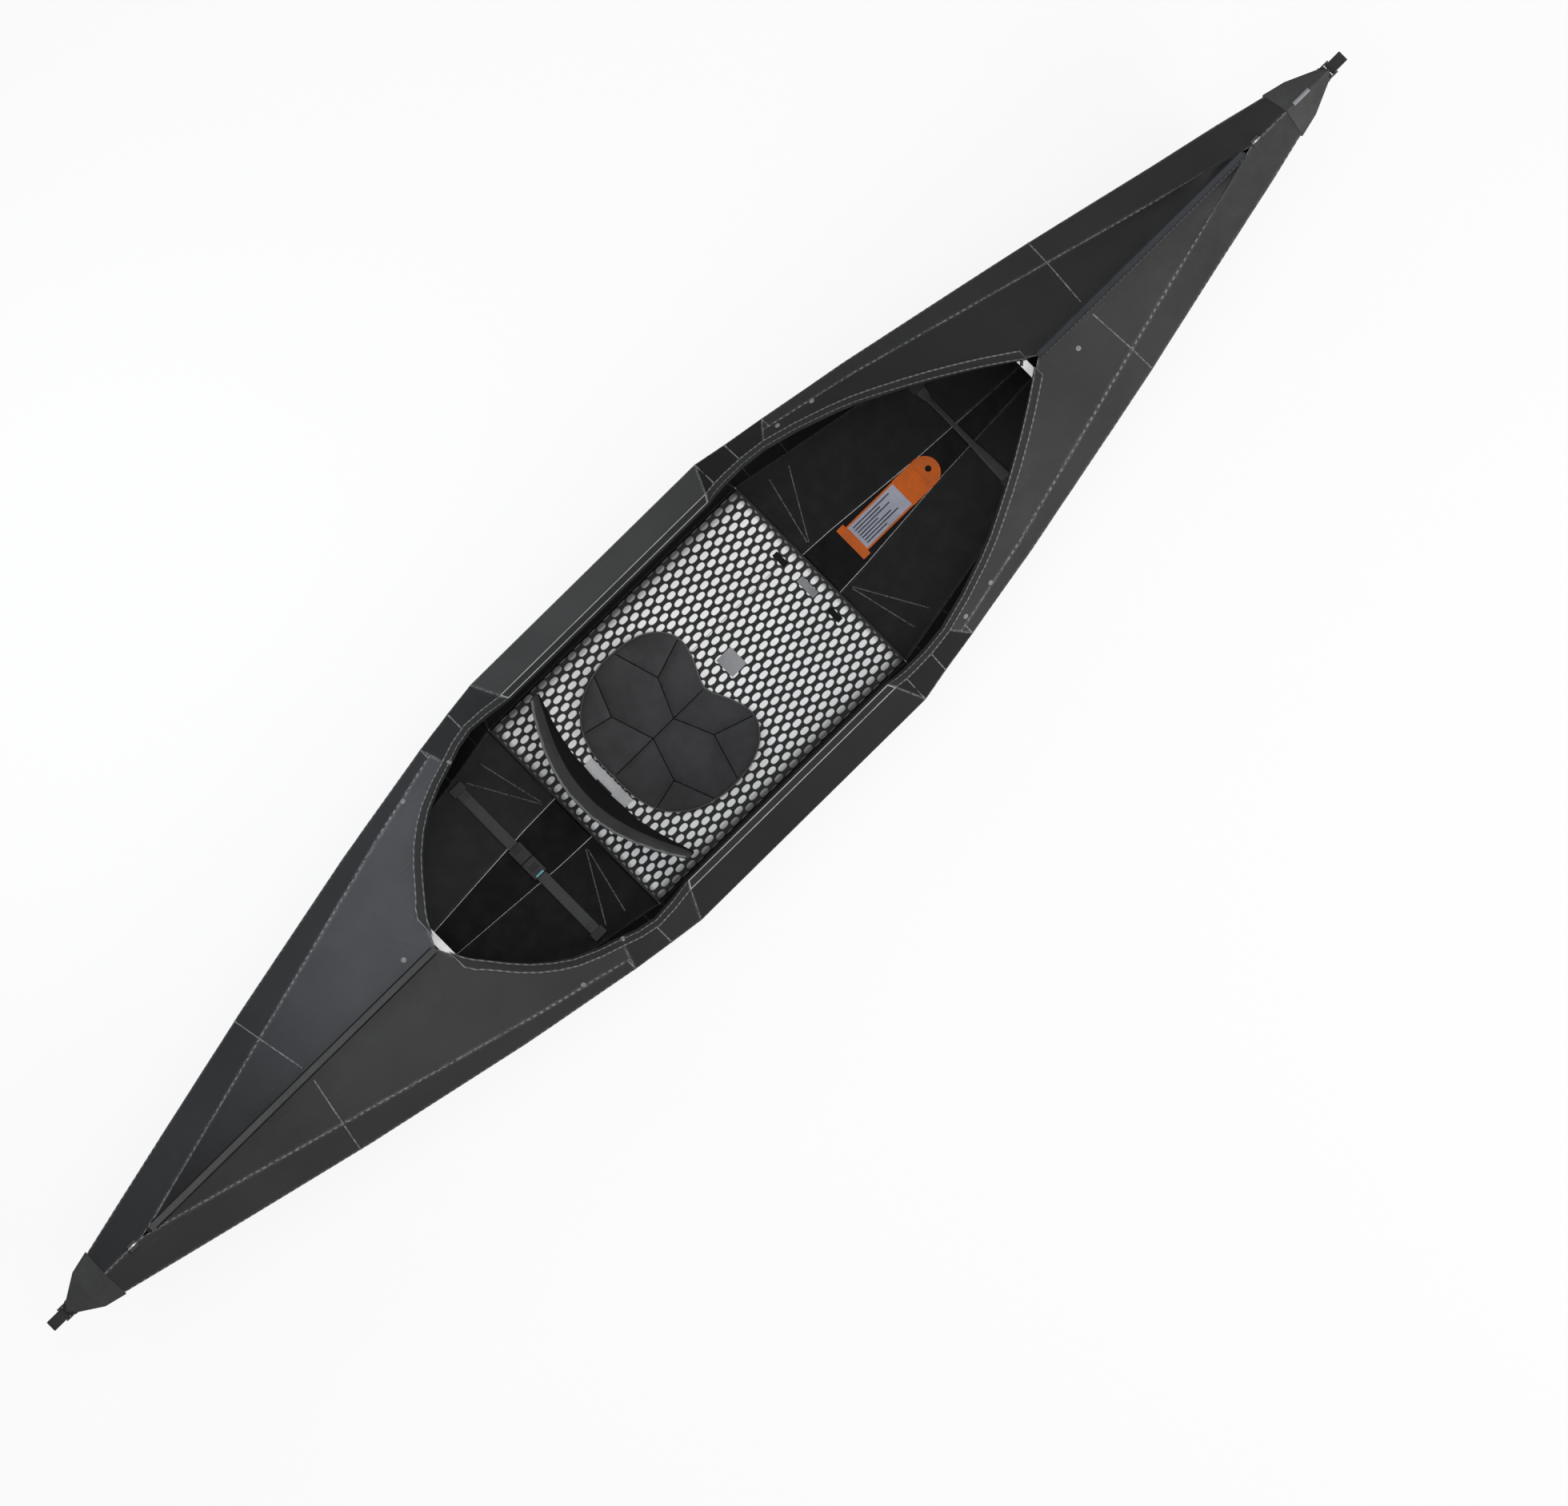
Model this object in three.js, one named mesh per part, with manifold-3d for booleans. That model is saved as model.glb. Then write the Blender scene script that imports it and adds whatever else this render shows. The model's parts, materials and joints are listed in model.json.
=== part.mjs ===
// Folding kayak: a skin of creased panels with deck rails, rim trims, end caps, floorboard, seat and straps.
// Millimetres. +X points to the bow, +Y to port and +Z up. The origin is on the ground, under the hull's middle.

import * as THREE from "three";
import { mergeVertices } from "three/addons/utils/BufferGeometryUtils.js";
import Module from "manifold-3d";

const wasm = await Module();
wasm.setup();

// Clearances
const creaseGap = 0.25;
const seatGap = 0.3;
const cutOverrun = 2;

// Floorboard. It laps over the main folds and stands clear of the sides.
const board = {
  halfLength: 373,
  width: 513,
  endLap: 3,
  sideClearance: 8.5,
  thickness: 5,
  slotX: 331,
  slotY: 84,
  slotLength: 14,
  slotWidth: 34,
};

// Backrest: a curved pad that leans back. Its lean is a table of [share of the height, share of the lean].
const backrest = {
  halfWidth: 238,
  sideClearance: 34,
  thickness: 17,
  wingSweep: 50,
  wingTop: 250,
  middleTop: 365,
  tongueHalfWidth: 56,
  shoulderHalfWidth: 100,
  tongueBottom: 27,
  shoulderBottom: 118,
  wingBottom: 150,
  knuckleHalfWidth: 22,
  columns: 24,
  rows: 7,
  edgePower: 6,
  edgeThinningShare: 0.75,
  lean: 68,
  leanShares: [
    [0, 0.0147],
    [0.1644, 0.0882],
    [0.411, 0.1765],
    [0.652, 0.3676],
    [0.8219, 0.647],
    [1, 1],
  ],
};

// Skin sheet and the middle box between the two main folds. The floor follows the board, and the rim the backrest.
const skinThickness = 5;
const floorHalfLength = board.halfLength - board.endLap;
const floorHalfWidth = board.width / 2 + board.sideClearance;
const keelStripHalfWidth = 57;
const gunwaleFoldX = 334;
const gunwaleHalfWidth = 350;
const gunwaleHeight = 190;
const rimFoldX = 298;
const rimHalfWidth = backrest.halfWidth + backrest.sideClearance;
const rimHeight = 238;

// The bow. Each row of a crease table is [station, x, y, z], as shares of the way from the main fold to its end.
// A station is the share of the gunwale's length at which the row lies.
const bow = {
  name: "bow",
  direction: 1,
  apexX: 1008,
  apexHeight: 317,
  stemHeadX: 1860,
  stemHeadHeight: 353,
  stemHeadHalfWidth: 14,
  stemFootX: 1545,
  stemFootHeight: 12,
  stemFootHalfWidth: 8,
  stemChineHalfWidth: 9,
  deckCreaseStartX: 711,
  deckCreaseStartHalfWidth: 251,
  deckCreaseStartHeight: 237,
  deckCreaseEndX: 1614,
  deckCreaseEndHalfWidth: 6,
  deckCreaseEndDrop: 1.5,
  chineOnStemShare: 0.31,
  gunwaleOnStemShare: 0.965,
  foldShare: 0.112,
  deckCreaseStartShare: 0.249,
  apexShare: 0.4515,
  deckCreaseEndShare: 0.845,
  trimEndShare: 0.438,
  plateSetback: 23,
  shoulderCreaseShare: 0.4,
  stationShares: [
    0, 0.025, 0.049, 0.08, 0.112, 0.15, 0.191, 0.22, 0.249, 0.285, 0.322, 0.355, 0.385, 0.418, 0.438, 0.4515,
    0.5, 0.545, 0.645, 0.745, 0.845, 0.855, 0.957, 1,
  ],
  keelShares: [
    [0, 0, 0, 0],
    [0.049, 0.006, 0.01, 0],
    [0.112, 0.067, 0.08, 0],
    [0.249, 0.29, 0.51, 0],
    [0.4515, 0.55, 0.816, 0.33],
    [0.545, 0.672, 0.918, 0.5],
    [0.745, 0.868, 0.98, 0.75],
    [0.845, 0.945, 1, 0.85],
    [0.957, 0.987, 1, 0.96],
    [1, 1, 1, 1],
  ],
  chineShares: [
    [0, 0, 0, 0],
    [0.049, 0.006, 0.008, 0.003],
    [0.112, 0.067, 0.066, 0.043],
    [0.249, 0.268, 0.254, 0.188],
    [0.4515, 0.509, 0.457, 0.427],
    [0.545, 0.621, 0.559, 0.564],
    [0.745, 0.859, 0.82, 0.855],
    [0.845, 0.935, 0.918, 0.93],
    [0.957, 0.984, 0.98, 0.983],
    [1, 1, 1, 1],
  ],
  gunwaleShares: [
    [0, 0, 0, 0],
    [0.049, 0.049, 0.042, 0.014],
    [0.112, 0.112, 0.089, 0.047],
    [0.249, 0.249, 0.199, 0.115],
    [0.4515, 0.4515, 0.387, 0.243],
    [0.545, 0.545, 0.476, 0.324],
    [0.745, 0.745, 0.685, 0.554],
    [0.845, 0.845, 0.786, 0.723],
    [0.957, 0.957, 0.911, 0.892],
    [1, 1, 1, 1],
  ],
  rimShares: [
    [0, 0, 0, 0],
    [0.049, 0.072, -0.022, 0.063],
    [0.112, 0.232, 0.004, 0.215],
    [0.191, 0.458, 0.187, 0.443],
    [0.249, 0.582, 0.335, 0.57],
    [0.322, 0.738, 0.555, 0.722],
    [0.385, 0.872, 0.77, 0.835],
    [0.438, 0.97, 0.946, 0.937],
    [0.4515, 1, 1, 1],
  ],
};

// The stern, in the same terms
const stern = {
  name: "stern",
  direction: -1,
  apexX: 777,
  apexHeight: 305,
  stemHeadX: 1856.8,
  stemHeadHeight: 322,
  stemHeadHalfWidth: 14,
  stemFootX: 1640,
  stemFootHeight: 45,
  stemFootHalfWidth: 8,
  stemChineHalfWidth: 9,
  deckCreaseStartX: 716,
  deckCreaseStartHalfWidth: 251,
  deckCreaseStartHeight: 239,
  deckCreaseEndX: 1617,
  deckCreaseEndHalfWidth: 6,
  deckCreaseEndDrop: 1.5,
  chineOnStemShare: 0.307,
  gunwaleOnStemShare: 0.955,
  foldShare: 0.114,
  deckCreaseStartShare: 0.253,
  apexShare: 0.299,
  deckCreaseEndShare: 0.85,
  trimEndShare: 0.287,
  plateSetback: 4,
  shoulderCreaseShare: 0.35,
  stationShares: [
    0, 0.026, 0.052, 0.083, 0.114, 0.145, 0.176, 0.196, 0.216, 0.235, 0.253, 0.268, 0.276, 0.287, 0.299,
    0.38, 0.46, 0.547, 0.648, 0.748, 0.85, 0.86, 0.9675, 1,
  ],
  keelShares: [
    [0, 0, 0, 0],
    [0.052, 0.006, 0.01, 0],
    [0.114, 0.075, 0.06, 0],
    [0.253, 0.272, 0.41, 0.05],
    [0.299, 0.327, 0.51, 0.1],
    [0.547, 0.622, 0.918, 0.4],
    [0.748, 0.835, 0.98, 0.71],
    [0.85, 0.937, 1, 0.89],
    [0.9675, 0.988, 1, 0.98],
    [1, 1, 1, 1],
  ],
  chineShares: [
    [0, 0, 0, 0],
    [0.052, 0.006, 0.008, 0.004],
    [0.114, 0.071, 0.07, 0.046],
    [0.253, 0.26, 0.234, 0.17],
    [0.299, 0.312, 0.277, 0.215],
    [0.547, 0.594, 0.547, 0.508],
    [0.748, 0.822, 0.8, 0.77],
    [0.85, 0.925, 0.926, 0.9],
    [0.9675, 0.985, 0.988, 0.985],
    [1, 1, 1, 1],
  ],
  gunwaleShares: [
    [0, 0, 0, 0],
    [0.052, 0.052, 0.03, 0.016],
    [0.114, 0.114, 0.071, 0.057],
    [0.253, 0.253, 0.182, 0.123],
    [0.299, 0.299, 0.22, 0.148],
    [0.547, 0.547, 0.455, 0.311],
    [0.748, 0.748, 0.667, 0.59],
    [0.85, 0.85, 0.777, 0.738],
    [0.9675, 0.9675, 0.905, 0.918],
    [1, 1, 1, 1],
  ],
  rimShares: [
    [0, 0, 0, 0],
    [0.052, 0.217, -0.04, 0.119],
    [0.114, 0.392, 0.044, 0.239],
    [0.176, 0.597, 0.184, 0.358],
    [0.216, 0.752, 0.39, 0.478],
    [0.253, 0.873, 0.636, 0.612],
    [0.276, 0.939, 0.787, 0.746],
    [0.299, 1, 1, 1],
  ],
};

// Upright seam along the deck's ridge, and the rail pushed over it
const seam = { thickness: 3.5, height: 5, sunk: 2.5, endInset: 4 };
const rail = { clearance: 0.35, wall: 2.6, top: 3 };

// Channel trim on the cockpit rim
const trim = { clearance: 0.35, flange: 1.8, web: 2.4, outerWidth: 18, innerWidth: 8 };

// Pale cross plate under the rim trims at each end of the cockpit
const apexPlate = { length: 18, thickness: 3, overlap: 12 };

// End cap: a dog-bone cover on the stem. Its outline is [share of the stem's length, depth behind the stem].
const cap = {
  wall: 3,
  nose: 8,
  blockDepth: 84,
  waistDepth: 40,
  footDepth: 72,
  headroom: 30,
  outlineShares: { footTop: 0.12, waistLow: 0.32, waistHigh: 0.64, headLow: 0.82 },
};

// Bar and cheeks on the cap that carry the grab loop
const loopBar = { radius: 3, reach: 8, cheekThickness: 3.5, cheekHeight: 15, drop: 11, segments: 20 };
const grabLoop = { width: 25, thickness: 2.6, barClearance: 0.5, tipRadius: 7, length: 33, segments: 14 };
const bowLoopRise = THREE.MathUtils.degToRad(24);
const sternLoopRise = THREE.MathUtils.degToRad(4);

// Deck ring and the saddle that carries it on the ridge
const saddle = { length: 22, width: 16, sunk: 12, boreRadius: 2.9, boreHeight: 6, roof: 1.9, segments: 24 };
const ring = { bar: 3.6, clearance: 0.5, height: 22, segments: 18 };
const bowRingX = 1652;
const sternRingX = 1668;

// Seat pad: its outline is [x, y] for the port half, as shares of the pad's length behind its front and half width
const pad = {
  backClearance: 5,
  length: 308,
  halfWidth: 190,
  thickness: 30,
  edgeHeight: 17,
  drawnIn: 5,
  channelDepth: 7,
  channelWidth: 9,
  crownPower: 4,
  edgePower: 8,
  sides: 60,
  rings: 13,
  outlineShares: [
    [1, 0],
    [0.987, 0.37],
    [0.92, 0.66],
    [0.77, 0.88],
    [0.545, 1],
    [0.25, 0.97],
    [0.09, 0.84],
    [0.01, 0.66],
    [0, 0.53],
    [0.045, 0.29],
    [0.12, 0],
  ],
  middleShare: 0.5,
};

// Stitched channels of the pad, each [[x, y], [x, y]] in the outline's shares
const channelShares = [
  [[1, 0], [0.12, 0]],
  [[0.42, 0], [0.3, 0.45]],
  [[0.3, 0.45], [0.4, 1]],
  [[0.3, 0.45], [0.02, 0.6]],
  [[0.62, 0], [0.72, 0.5]],
  [[0.72, 0.5], [0.98, 0.6]],
  [[0.72, 0.5], [0.6, 1]],
];

// Bracket on the floorboard that carries the backrest's hinge pin
const bracket = {
  halfWidth: 63,
  plateLength: 29,
  thickness: 4,
  pinX: -284,
  pinRadius: 2.2,
  knuckleRadius: 5.5,
  boreClearance: 0.3,
  knuckleGap: 0.5,
  segments: 24,
};

// Webbing straps across the floor, with an anchor block at each end
const webbing = { width: 25, thickness: 2.2 };
const anchor = { length: 34, width: 20, cover: 3 };
const rearStrap = { x: -508, halfSpan: 205, height: 16 };
const frontStrap = { x: 798, halfSpan: 132, height: 31 };

// Side-release buckle on the rear strap
const buckle = {
  portEndY: 44,
  meetY: 4,
  starboardEndY: -40,
  width: 34,
  thickness: 12,
  socketWidth: 26,
  socketThickness: 7,
  socketDepth: 30,
  prongWidth: 5,
  prongSpacing: 15,
  prongThickness: 5,
  prongLength: 25,
  tunnelClearance: 0.4,
  tunnelDepth: 38,
  webbingEntry: 4,
};

// Tag on the front floor
const tag = {
  startX: 459,
  thickness: 2.5,
  lift: 0.45,
  footLength: 20,
  footWidth: 85,
  cardLength: 139,
  cardWidth: 64,
  headLength: 100,
  headWidth: 70,
  neckWidth: 68,
  holeRadius: 7,
  holeInset: 24,
  ridgeHeight: 3,
  ridgeWidth: 8,
  ridgeLength: 46,
  ridgeInset: 46,
  labelThickness: 0.8,
  labelInset: 2,
  segments: 14,
};

// Colours, by what the piece is made of
const materials = {
  skin: { color: 0x2f3032, roughness: 0.62, metalness: 0 },
  skinDark: { color: 0x26272a, roughness: 0.62, metalness: 0 },
  rail: { color: 0x1d1e20, roughness: 0.5, metalness: 0 },
  trim: { color: 0x47494b, roughness: 0.55, metalness: 0 },
  cap: { color: 0x3f4041, roughness: 0.8, metalness: 0 },
  web: { color: 0x2a2b2d, roughness: 0.9, metalness: 0 },
  pale: { color: 0x9a9c9e, roughness: 0.5, metalness: 0 },
  floor: { color: 0x8e8f90, roughness: 0.6, metalness: 0 },
  pad: { color: 0x3a3a3c, roughness: 0.95, metalness: 0 },
  buckle: { color: 0x1a1b1c, roughness: 0.4, metalness: 0 },
  orange: { color: 0xc85f19, roughness: 0.6, metalness: 0 },
  label: { color: 0x8d8fa0, roughness: 0.7, metalness: 0 },
};

const kayak = new THREE.Group();

function addPiece(name, geometry, material) {
  const mesh = new THREE.Mesh(geometry, new THREE.MeshStandardMaterial(material));
  mesh.name = name;
  kayak.add(mesh);
  return mesh;
}

// Vectors and small helpers
const vector = (x, y, z) => new THREE.Vector3(x, y, z);
const mirrored = (v) => vector(v.x, -v.y, v.z);
const mix = (from, to, share) => from.clone().lerp(to, share);
const stepTo = (from, to, distance) => from.clone().add(to.clone().sub(from).setLength(distance));

function signedVolume(geometry) {
  const place = geometry.attributes.position;
  const index = geometry.index;
  const corner = [vector(0, 0, 0), vector(0, 0, 0), vector(0, 0, 0)];
  let total = 0;
  for (let i = 0; i < index.count; i += corner.length) {
    corner.forEach((point, k) => point.fromBufferAttribute(place, index.getX(i + k)));
    total += corner[0].dot(corner[1].clone().cross(corner[2]));
  }
  return total;
}

function closedGeometry(points, faces) {
  const geometry = new THREE.BufferGeometry();
  geometry.setAttribute("position", new THREE.Float32BufferAttribute(points.flatMap((p) => p.toArray()), 3));
  geometry.setIndex(faces.flat());
  if (signedVolume(geometry) < 0) {
    geometry.setIndex(faces.flatMap(([a, b, c]) => [a, c, b]));
  }
  geometry.computeVertexNormals();
  return geometry;
}

// Triangles of a flat outline, all turning the same way as the outline does
function outlineFaces(outline) {
  const turnsLeft = THREE.ShapeUtils.area(outline) > 0;
  return THREE.ShapeUtils.triangulateShape(outline, []).map(([a, b, c]) => {
    const leftFace = THREE.ShapeUtils.area([outline[a], outline[b], outline[c]]) > 0;
    return leftFace === turnsLeft ? [a, b, c] : [a, c, b];
  });
}

// A closed solid through rings of points that all have the same count. Each side between two rings is split along
// the diagonal from its first point forward, and the turned sides along the other one, so that faces that lie
// against each other can be split alike.
function loft(rings, endFaces = [[0, 1, 2], [0, 2, 3]], turnedSides = []) {
  const count = rings[0].length;
  const faces = [];
  for (let r = 0; r + 1 < rings.length; r += 1) {
    for (let k = 0; k < count; k += 1) {
      const a = r * count + k;
      const b = r * count + ((k + 1) % count);
      if (turnedSides.includes(k)) {
        faces.push([a, b, a + count], [b, b + count, a + count]);
      } else {
        faces.push([a, b, b + count], [a, b + count, a + count]);
      }
    }
  }
  const last = (rings.length - 1) * count;
  for (const [a, b, c] of endFaces) {
    faces.push([a, c, b], [last + a, last + b, last + c]);
  }
  return closedGeometry(rings.flat(), faces);
}

function box(x0, x1, y0, y1, z0, z1) {
  const geometry = new THREE.BoxGeometry(x1 - x0, y1 - y0, z1 - z0);
  return geometry.translate((x0 + x1) / 2, (y0 + y1) / 2, (z0 + z1) / 2);
}

// An outline in X and Z, extruded across Y about the centre plane
function extrudeAcross(outline, width, hole) {
  const turnsLeft = THREE.ShapeUtils.area(outline) > 0;
  const shape = new THREE.Shape(turnsLeft ? outline : [...outline].reverse());
  if (hole) {
    shape.holes.push(new THREE.Path(hole));
  }
  const geometry = new THREE.ExtrudeGeometry(shape, { depth: width, bevelEnabled: false });
  return geometry.rotateX(Math.PI / 2).translate(0, width / 2, 0);
}

// A cylinder along Y, between two values of y
function barAcross(radius, x, z, y0, y1, segments) {
  return new THREE.CylinderGeometry(radius, radius, y1 - y0, segments).translate(x, (y0 + y1) / 2, z);
}

function solidOf(geometry) {
  const bare = geometry.clone();
  bare.deleteAttribute("normal");
  bare.deleteAttribute("uv");
  const merged = mergeVertices(bare);
  const mesh = new wasm.Mesh({
    numProp: 3,
    vertProperties: Float32Array.from(merged.attributes.position.array),
    triVerts: Uint32Array.from(merged.index.array),
  });
  return new wasm.Manifold(mesh);
}

function geometryOf(solid) {
  const mesh = solid.getMesh();
  const geometry = new THREE.BufferGeometry();
  geometry.setAttribute("position", new THREE.Float32BufferAttribute(mesh.vertProperties, 3));
  geometry.setIndex(new THREE.Uint32BufferAttribute(mesh.triVerts, 1));
  geometry.computeVertexNormals();
  return geometry;
}

// A row of a crease table at a station, straight between rows
function rowAt(rows, station) {
  const next = Math.max(1, rows.findIndex((row) => row[0] >= station));
  const [low, high] = [rows[next - 1], rows[next]];
  const share = (station - low[0]) / (high[0] - low[0]);
  return low.map((value, k) => value + share * (high[k] - value));
}

// The same, but on a smooth curve through the rows
function smoothRowAt(rows, station) {
  const next = Math.max(1, rows.findIndex((row) => row[0] >= station));
  const [low, high] = [rows[next - 1], rows[next]];
  const before = rows[Math.max(0, next - 2)];
  const after = rows[Math.min(rows.length - 1, next + 1)];
  const span = high[0] - low[0];
  const t = (station - low[0]) / span;
  return low.map((value, k) => {
    const slopeLow = ((high[k] - before[k]) / (high[0] - before[0])) * span;
    const slopeHigh = ((after[k] - value) / (after[0] - low[0])) * span;
    const rise = high[k] - value;
    return value + t * (slopeLow + t * (3 * rise - 2 * slopeLow - slopeHigh + t * (slopeLow + slopeHigh - 2 * rise)));
  });
}

function along(start, end, row) {
  const [, x, y, z] = row;
  return vector(
    start.x + x * (end.x - start.x),
    start.y + y * (end.y - start.y),
    start.z + z * (end.z - start.z),
  );
}

// Fold lines of one end, port side, drawn as if the end pointed to +X
function endPoints(end) {
  const stemFoot = vector(end.stemFootX, end.stemFootHalfWidth, end.stemFootHeight);
  const stemHead = vector(end.stemHeadX, 0, end.stemHeadHeight);
  const onStem = (share, halfWidth) => mix(stemFoot, stemHead, share).setY(halfWidth);
  const apex = vector(end.apexX, 0, end.apexHeight);
  const ridgeAt = (x) => mix(apex, stemHead, (x - end.apexX) / (end.stemHeadX - end.apexX));
  return {
    keelFold: vector(floorHalfLength, keelStripHalfWidth, 0),
    chineFold: vector(floorHalfLength, floorHalfWidth, 0),
    gunwaleFold: vector(gunwaleFoldX, gunwaleHalfWidth, gunwaleHeight),
    rimFold: vector(rimFoldX, rimHalfWidth, rimHeight),
    stemFoot,
    stemHead,
    stemChine: onStem(end.chineOnStemShare, end.stemChineHalfWidth),
    stemGunwale: onStem(end.gunwaleOnStemShare, end.stemHeadHalfWidth),
    apex,
    ridgeAt,
    deckCreaseStart: vector(end.deckCreaseStartX, end.deckCreaseStartHalfWidth, end.deckCreaseStartHeight),
    deckCreaseEnd: vector(
      end.deckCreaseEndX,
      end.deckCreaseEndHalfWidth,
      ridgeAt(end.deckCreaseEndX).z - end.deckCreaseEndDrop,
    ),
  };
}

function gunwaleAndRim(end, points, station) {
  const gunwale = along(points.gunwaleFold, points.stemGunwale, rowAt(end.gunwaleShares, station));
  const pastApex = (station - end.apexShare) / (1 - end.apexShare);
  const rim = pastApex >= 0
    ? mix(points.apex, points.stemHead, pastApex)
    : along(points.rimFold, points.apex, smoothRowAt(end.rimShares, station));
  return { gunwale, rim };
}

function stationOf(end, points, station) {
  const { gunwale, rim } = gunwaleAndRim(end, points, station);
  let deck = mix(gunwale, rim, end.shoulderCreaseShare);
  if (station > end.deckCreaseEndShare) {
    deck = rim.clone();
  } else if (station >= end.deckCreaseStartShare) {
    const span = end.deckCreaseEndShare - end.deckCreaseStartShare;
    deck = mix(points.deckCreaseStart, points.deckCreaseEnd, (station - end.deckCreaseStartShare) / span);
  } else if (station > end.foldShare) {
    const fold = gunwaleAndRim(end, points, end.foldShare);
    const foldDeck = mix(fold.gunwale, fold.rim, end.shoulderCreaseShare);
    const share = (station - end.foldShare) / (end.deckCreaseStartShare - end.foldShare);
    deck = mix(foldDeck, points.deckCreaseStart, share);
  }
  return {
    keel: along(points.keelFold, points.stemFoot, rowAt(end.keelShares, station)),
    chine: along(points.chineFold, points.stemChine, rowAt(end.chineShares, station)),
    gunwale,
    deck,
    rim,
    onRidge: station >= end.apexShare,
    flatDeckShare: station <= end.foldShare ? end.shoulderCreaseShare : null,
  };
}

for (const end of [bow, stern]) {
  end.points = endPoints(end);
  end.stations = end.stationShares.map((station) => stationOf(end, end.points, station));
}

// All stations of the hull, from the stern's stem to the bow's
function turned(station) {
  const result = { onRidge: station.onRidge, flatDeckShare: station.flatDeckShare };
  for (const name of ["keel", "chine", "gunwale", "deck", "rim"]) {
    result[name] = vector(-station[name].x, station[name].y, station[name].z);
  }
  return result;
}
const hull = [...stern.stations.map(turned).reverse(), ...bow.stations];
const sternFoldIndex = stern.stations.length - 1;
const bowFoldIndex = stern.stations.length;

const indexOf = (end, share) => {
  const place = end.stationShares.indexOf(share);
  return end.direction > 0 ? bowFoldIndex + place : sternFoldIndex - place;
};

// Outward normal of the strip between two fold lines, at one station
function stripNormal(index, lower, upper) {
  const normal = vector(0, 0, 0);
  for (const first of [index - 1, index]) {
    const [here, next] = [hull[first], hull[first + 1]];
    if (here && next) {
      const across = upper(here).clone().sub(lower(here)).add(upper(next)).sub(lower(next));
      const forward = lower(next).clone().sub(lower(here)).add(upper(next)).sub(upper(here));
      const face = across.cross(forward);
      if (face.length() > creaseGap) {
        normal.add(face.normalize());
      }
    }
  }
  return normal.normalize();
}

const mitre = (first, second) => first.clone().add(second).divideScalar(1 + first.dot(second));

// Direction and length, per unit of thickness, in which each fold line's point moves outwards
hull.forEach((station, index) => {
  const keelNormal = stripNormal(index, (s) => mirrored(s.keel), (s) => s.keel);
  const bilgeNormal = stripNormal(index, (s) => s.keel, (s) => s.chine);
  const sideNormal = stripNormal(index, (s) => s.chine, (s) => s.gunwale);
  const outerNormal = stripNormal(index, (s) => s.gunwale, (s) => s.deck);
  const innerNormal = stripNormal(index, (s) => s.deck, (s) => s.rim);
  const hasInner = station.deck.distanceTo(station.rim) > creaseGap;
  const topNormal = hasInner ? innerNormal : outerNormal;
  station.out = {
    keel: mitre(keelNormal, bilgeNormal),
    chine: mitre(bilgeNormal, sideNormal),
    gunwale: mitre(sideNormal, outerNormal),
    deck: mitre(outerNormal, hasInner ? innerNormal : mirrored(outerNormal)),
    rim: station.onRidge ? mitre(topNormal, mirrored(topNormal)) : topNormal,
  };
  if (station.flatDeckShare !== null) {
    station.out.deck = mix(station.out.gunwale, station.out.rim, station.flatDeckShare);
  }
  station.rimNormal = topNormal;
});

// At each stem these steps also slide along the fold line, so that the panels end in the plane of the stem
for (const [last, before] of [[0, 1], [hull.length - 1, hull.length - 2]]) {
  const stem = hull[last];
  const forward = vector(stem.rim.z - stem.keel.z, 0, stem.keel.x - stem.rim.x);
  for (const [column, out] of Object.entries(stem.out)) {
    const foldLine = stem[column].clone().sub(hull[before][column]);
    out.addScaledVector(foldLine, -out.dot(forward) / foldLine.dot(forward));
  }
}

const grown = (station, column, growth) => station[column].clone().addScaledVector(station.out[column], growth);

// One panel of the skin, over the fold lines given and between two stations, drawn in by the gap at each edge.
// All of its faces are split from the lower line here to the upper line ahead.
function panelGeometry(from, to, lines) {
  const rings = [];
  for (let i = from; i <= to; i += 1) {
    const drawnIn = [0, -skinThickness].map((depth) => {
      const points = lines.map((line) => line(hull[i], depth));
      const first = stepTo(points[0], points[1], creaseGap);
      const last = stepTo(points.at(-1), points.at(-2), creaseGap);
      return [first, ...points.slice(1, -1), last];
    });
    rings.push([...drawnIn[0], ...drawnIn[1].reverse()]);
  }
  const end = rings.length - 1;
  const first = rings[0].map((point, k) => stepTo(point, rings[1][k], creaseGap));
  const last = rings[end].map((point, k) => stepTo(point, rings[end - 1][k], creaseGap));
  return slabLoft([first, ...rings.slice(1, end), last]);
}

// A loft of rings that run over the top of a slab and back underneath
function slabLoft(rings) {
  const count = rings[0].length;
  const spans = Array.from({ length: count / 2 - 1 }, (_, k) => k);
  const endFaces = spans.flatMap((k) => {
    const [a, b, c, d] = [k, k + 1, count - 2 - k, count - 1 - k];
    return [[a, b, c], [a, c, d]];
  });
  const turnedSides = rings[0].map((_, k) => k).filter((k) => k >= count / 2);
  return loft(rings, endFaces, turnedSides);
}

const portLine = (column) => (station, growth) => grown(station, column, growth);
const starboardLine = (column) => (station, growth) => mirrored(grown(station, column, growth));

function panelPair(name, from, to, columns, material, change = (geometry) => geometry) {
  for (const [side, line] of Object.entries({ port: portLine, starboard: starboardLine })) {
    const geometry = panelGeometry(from, to, columns.map(line));
    addPiece(`${name}_${side}`, change(geometry, side), material);
  }
}

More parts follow.
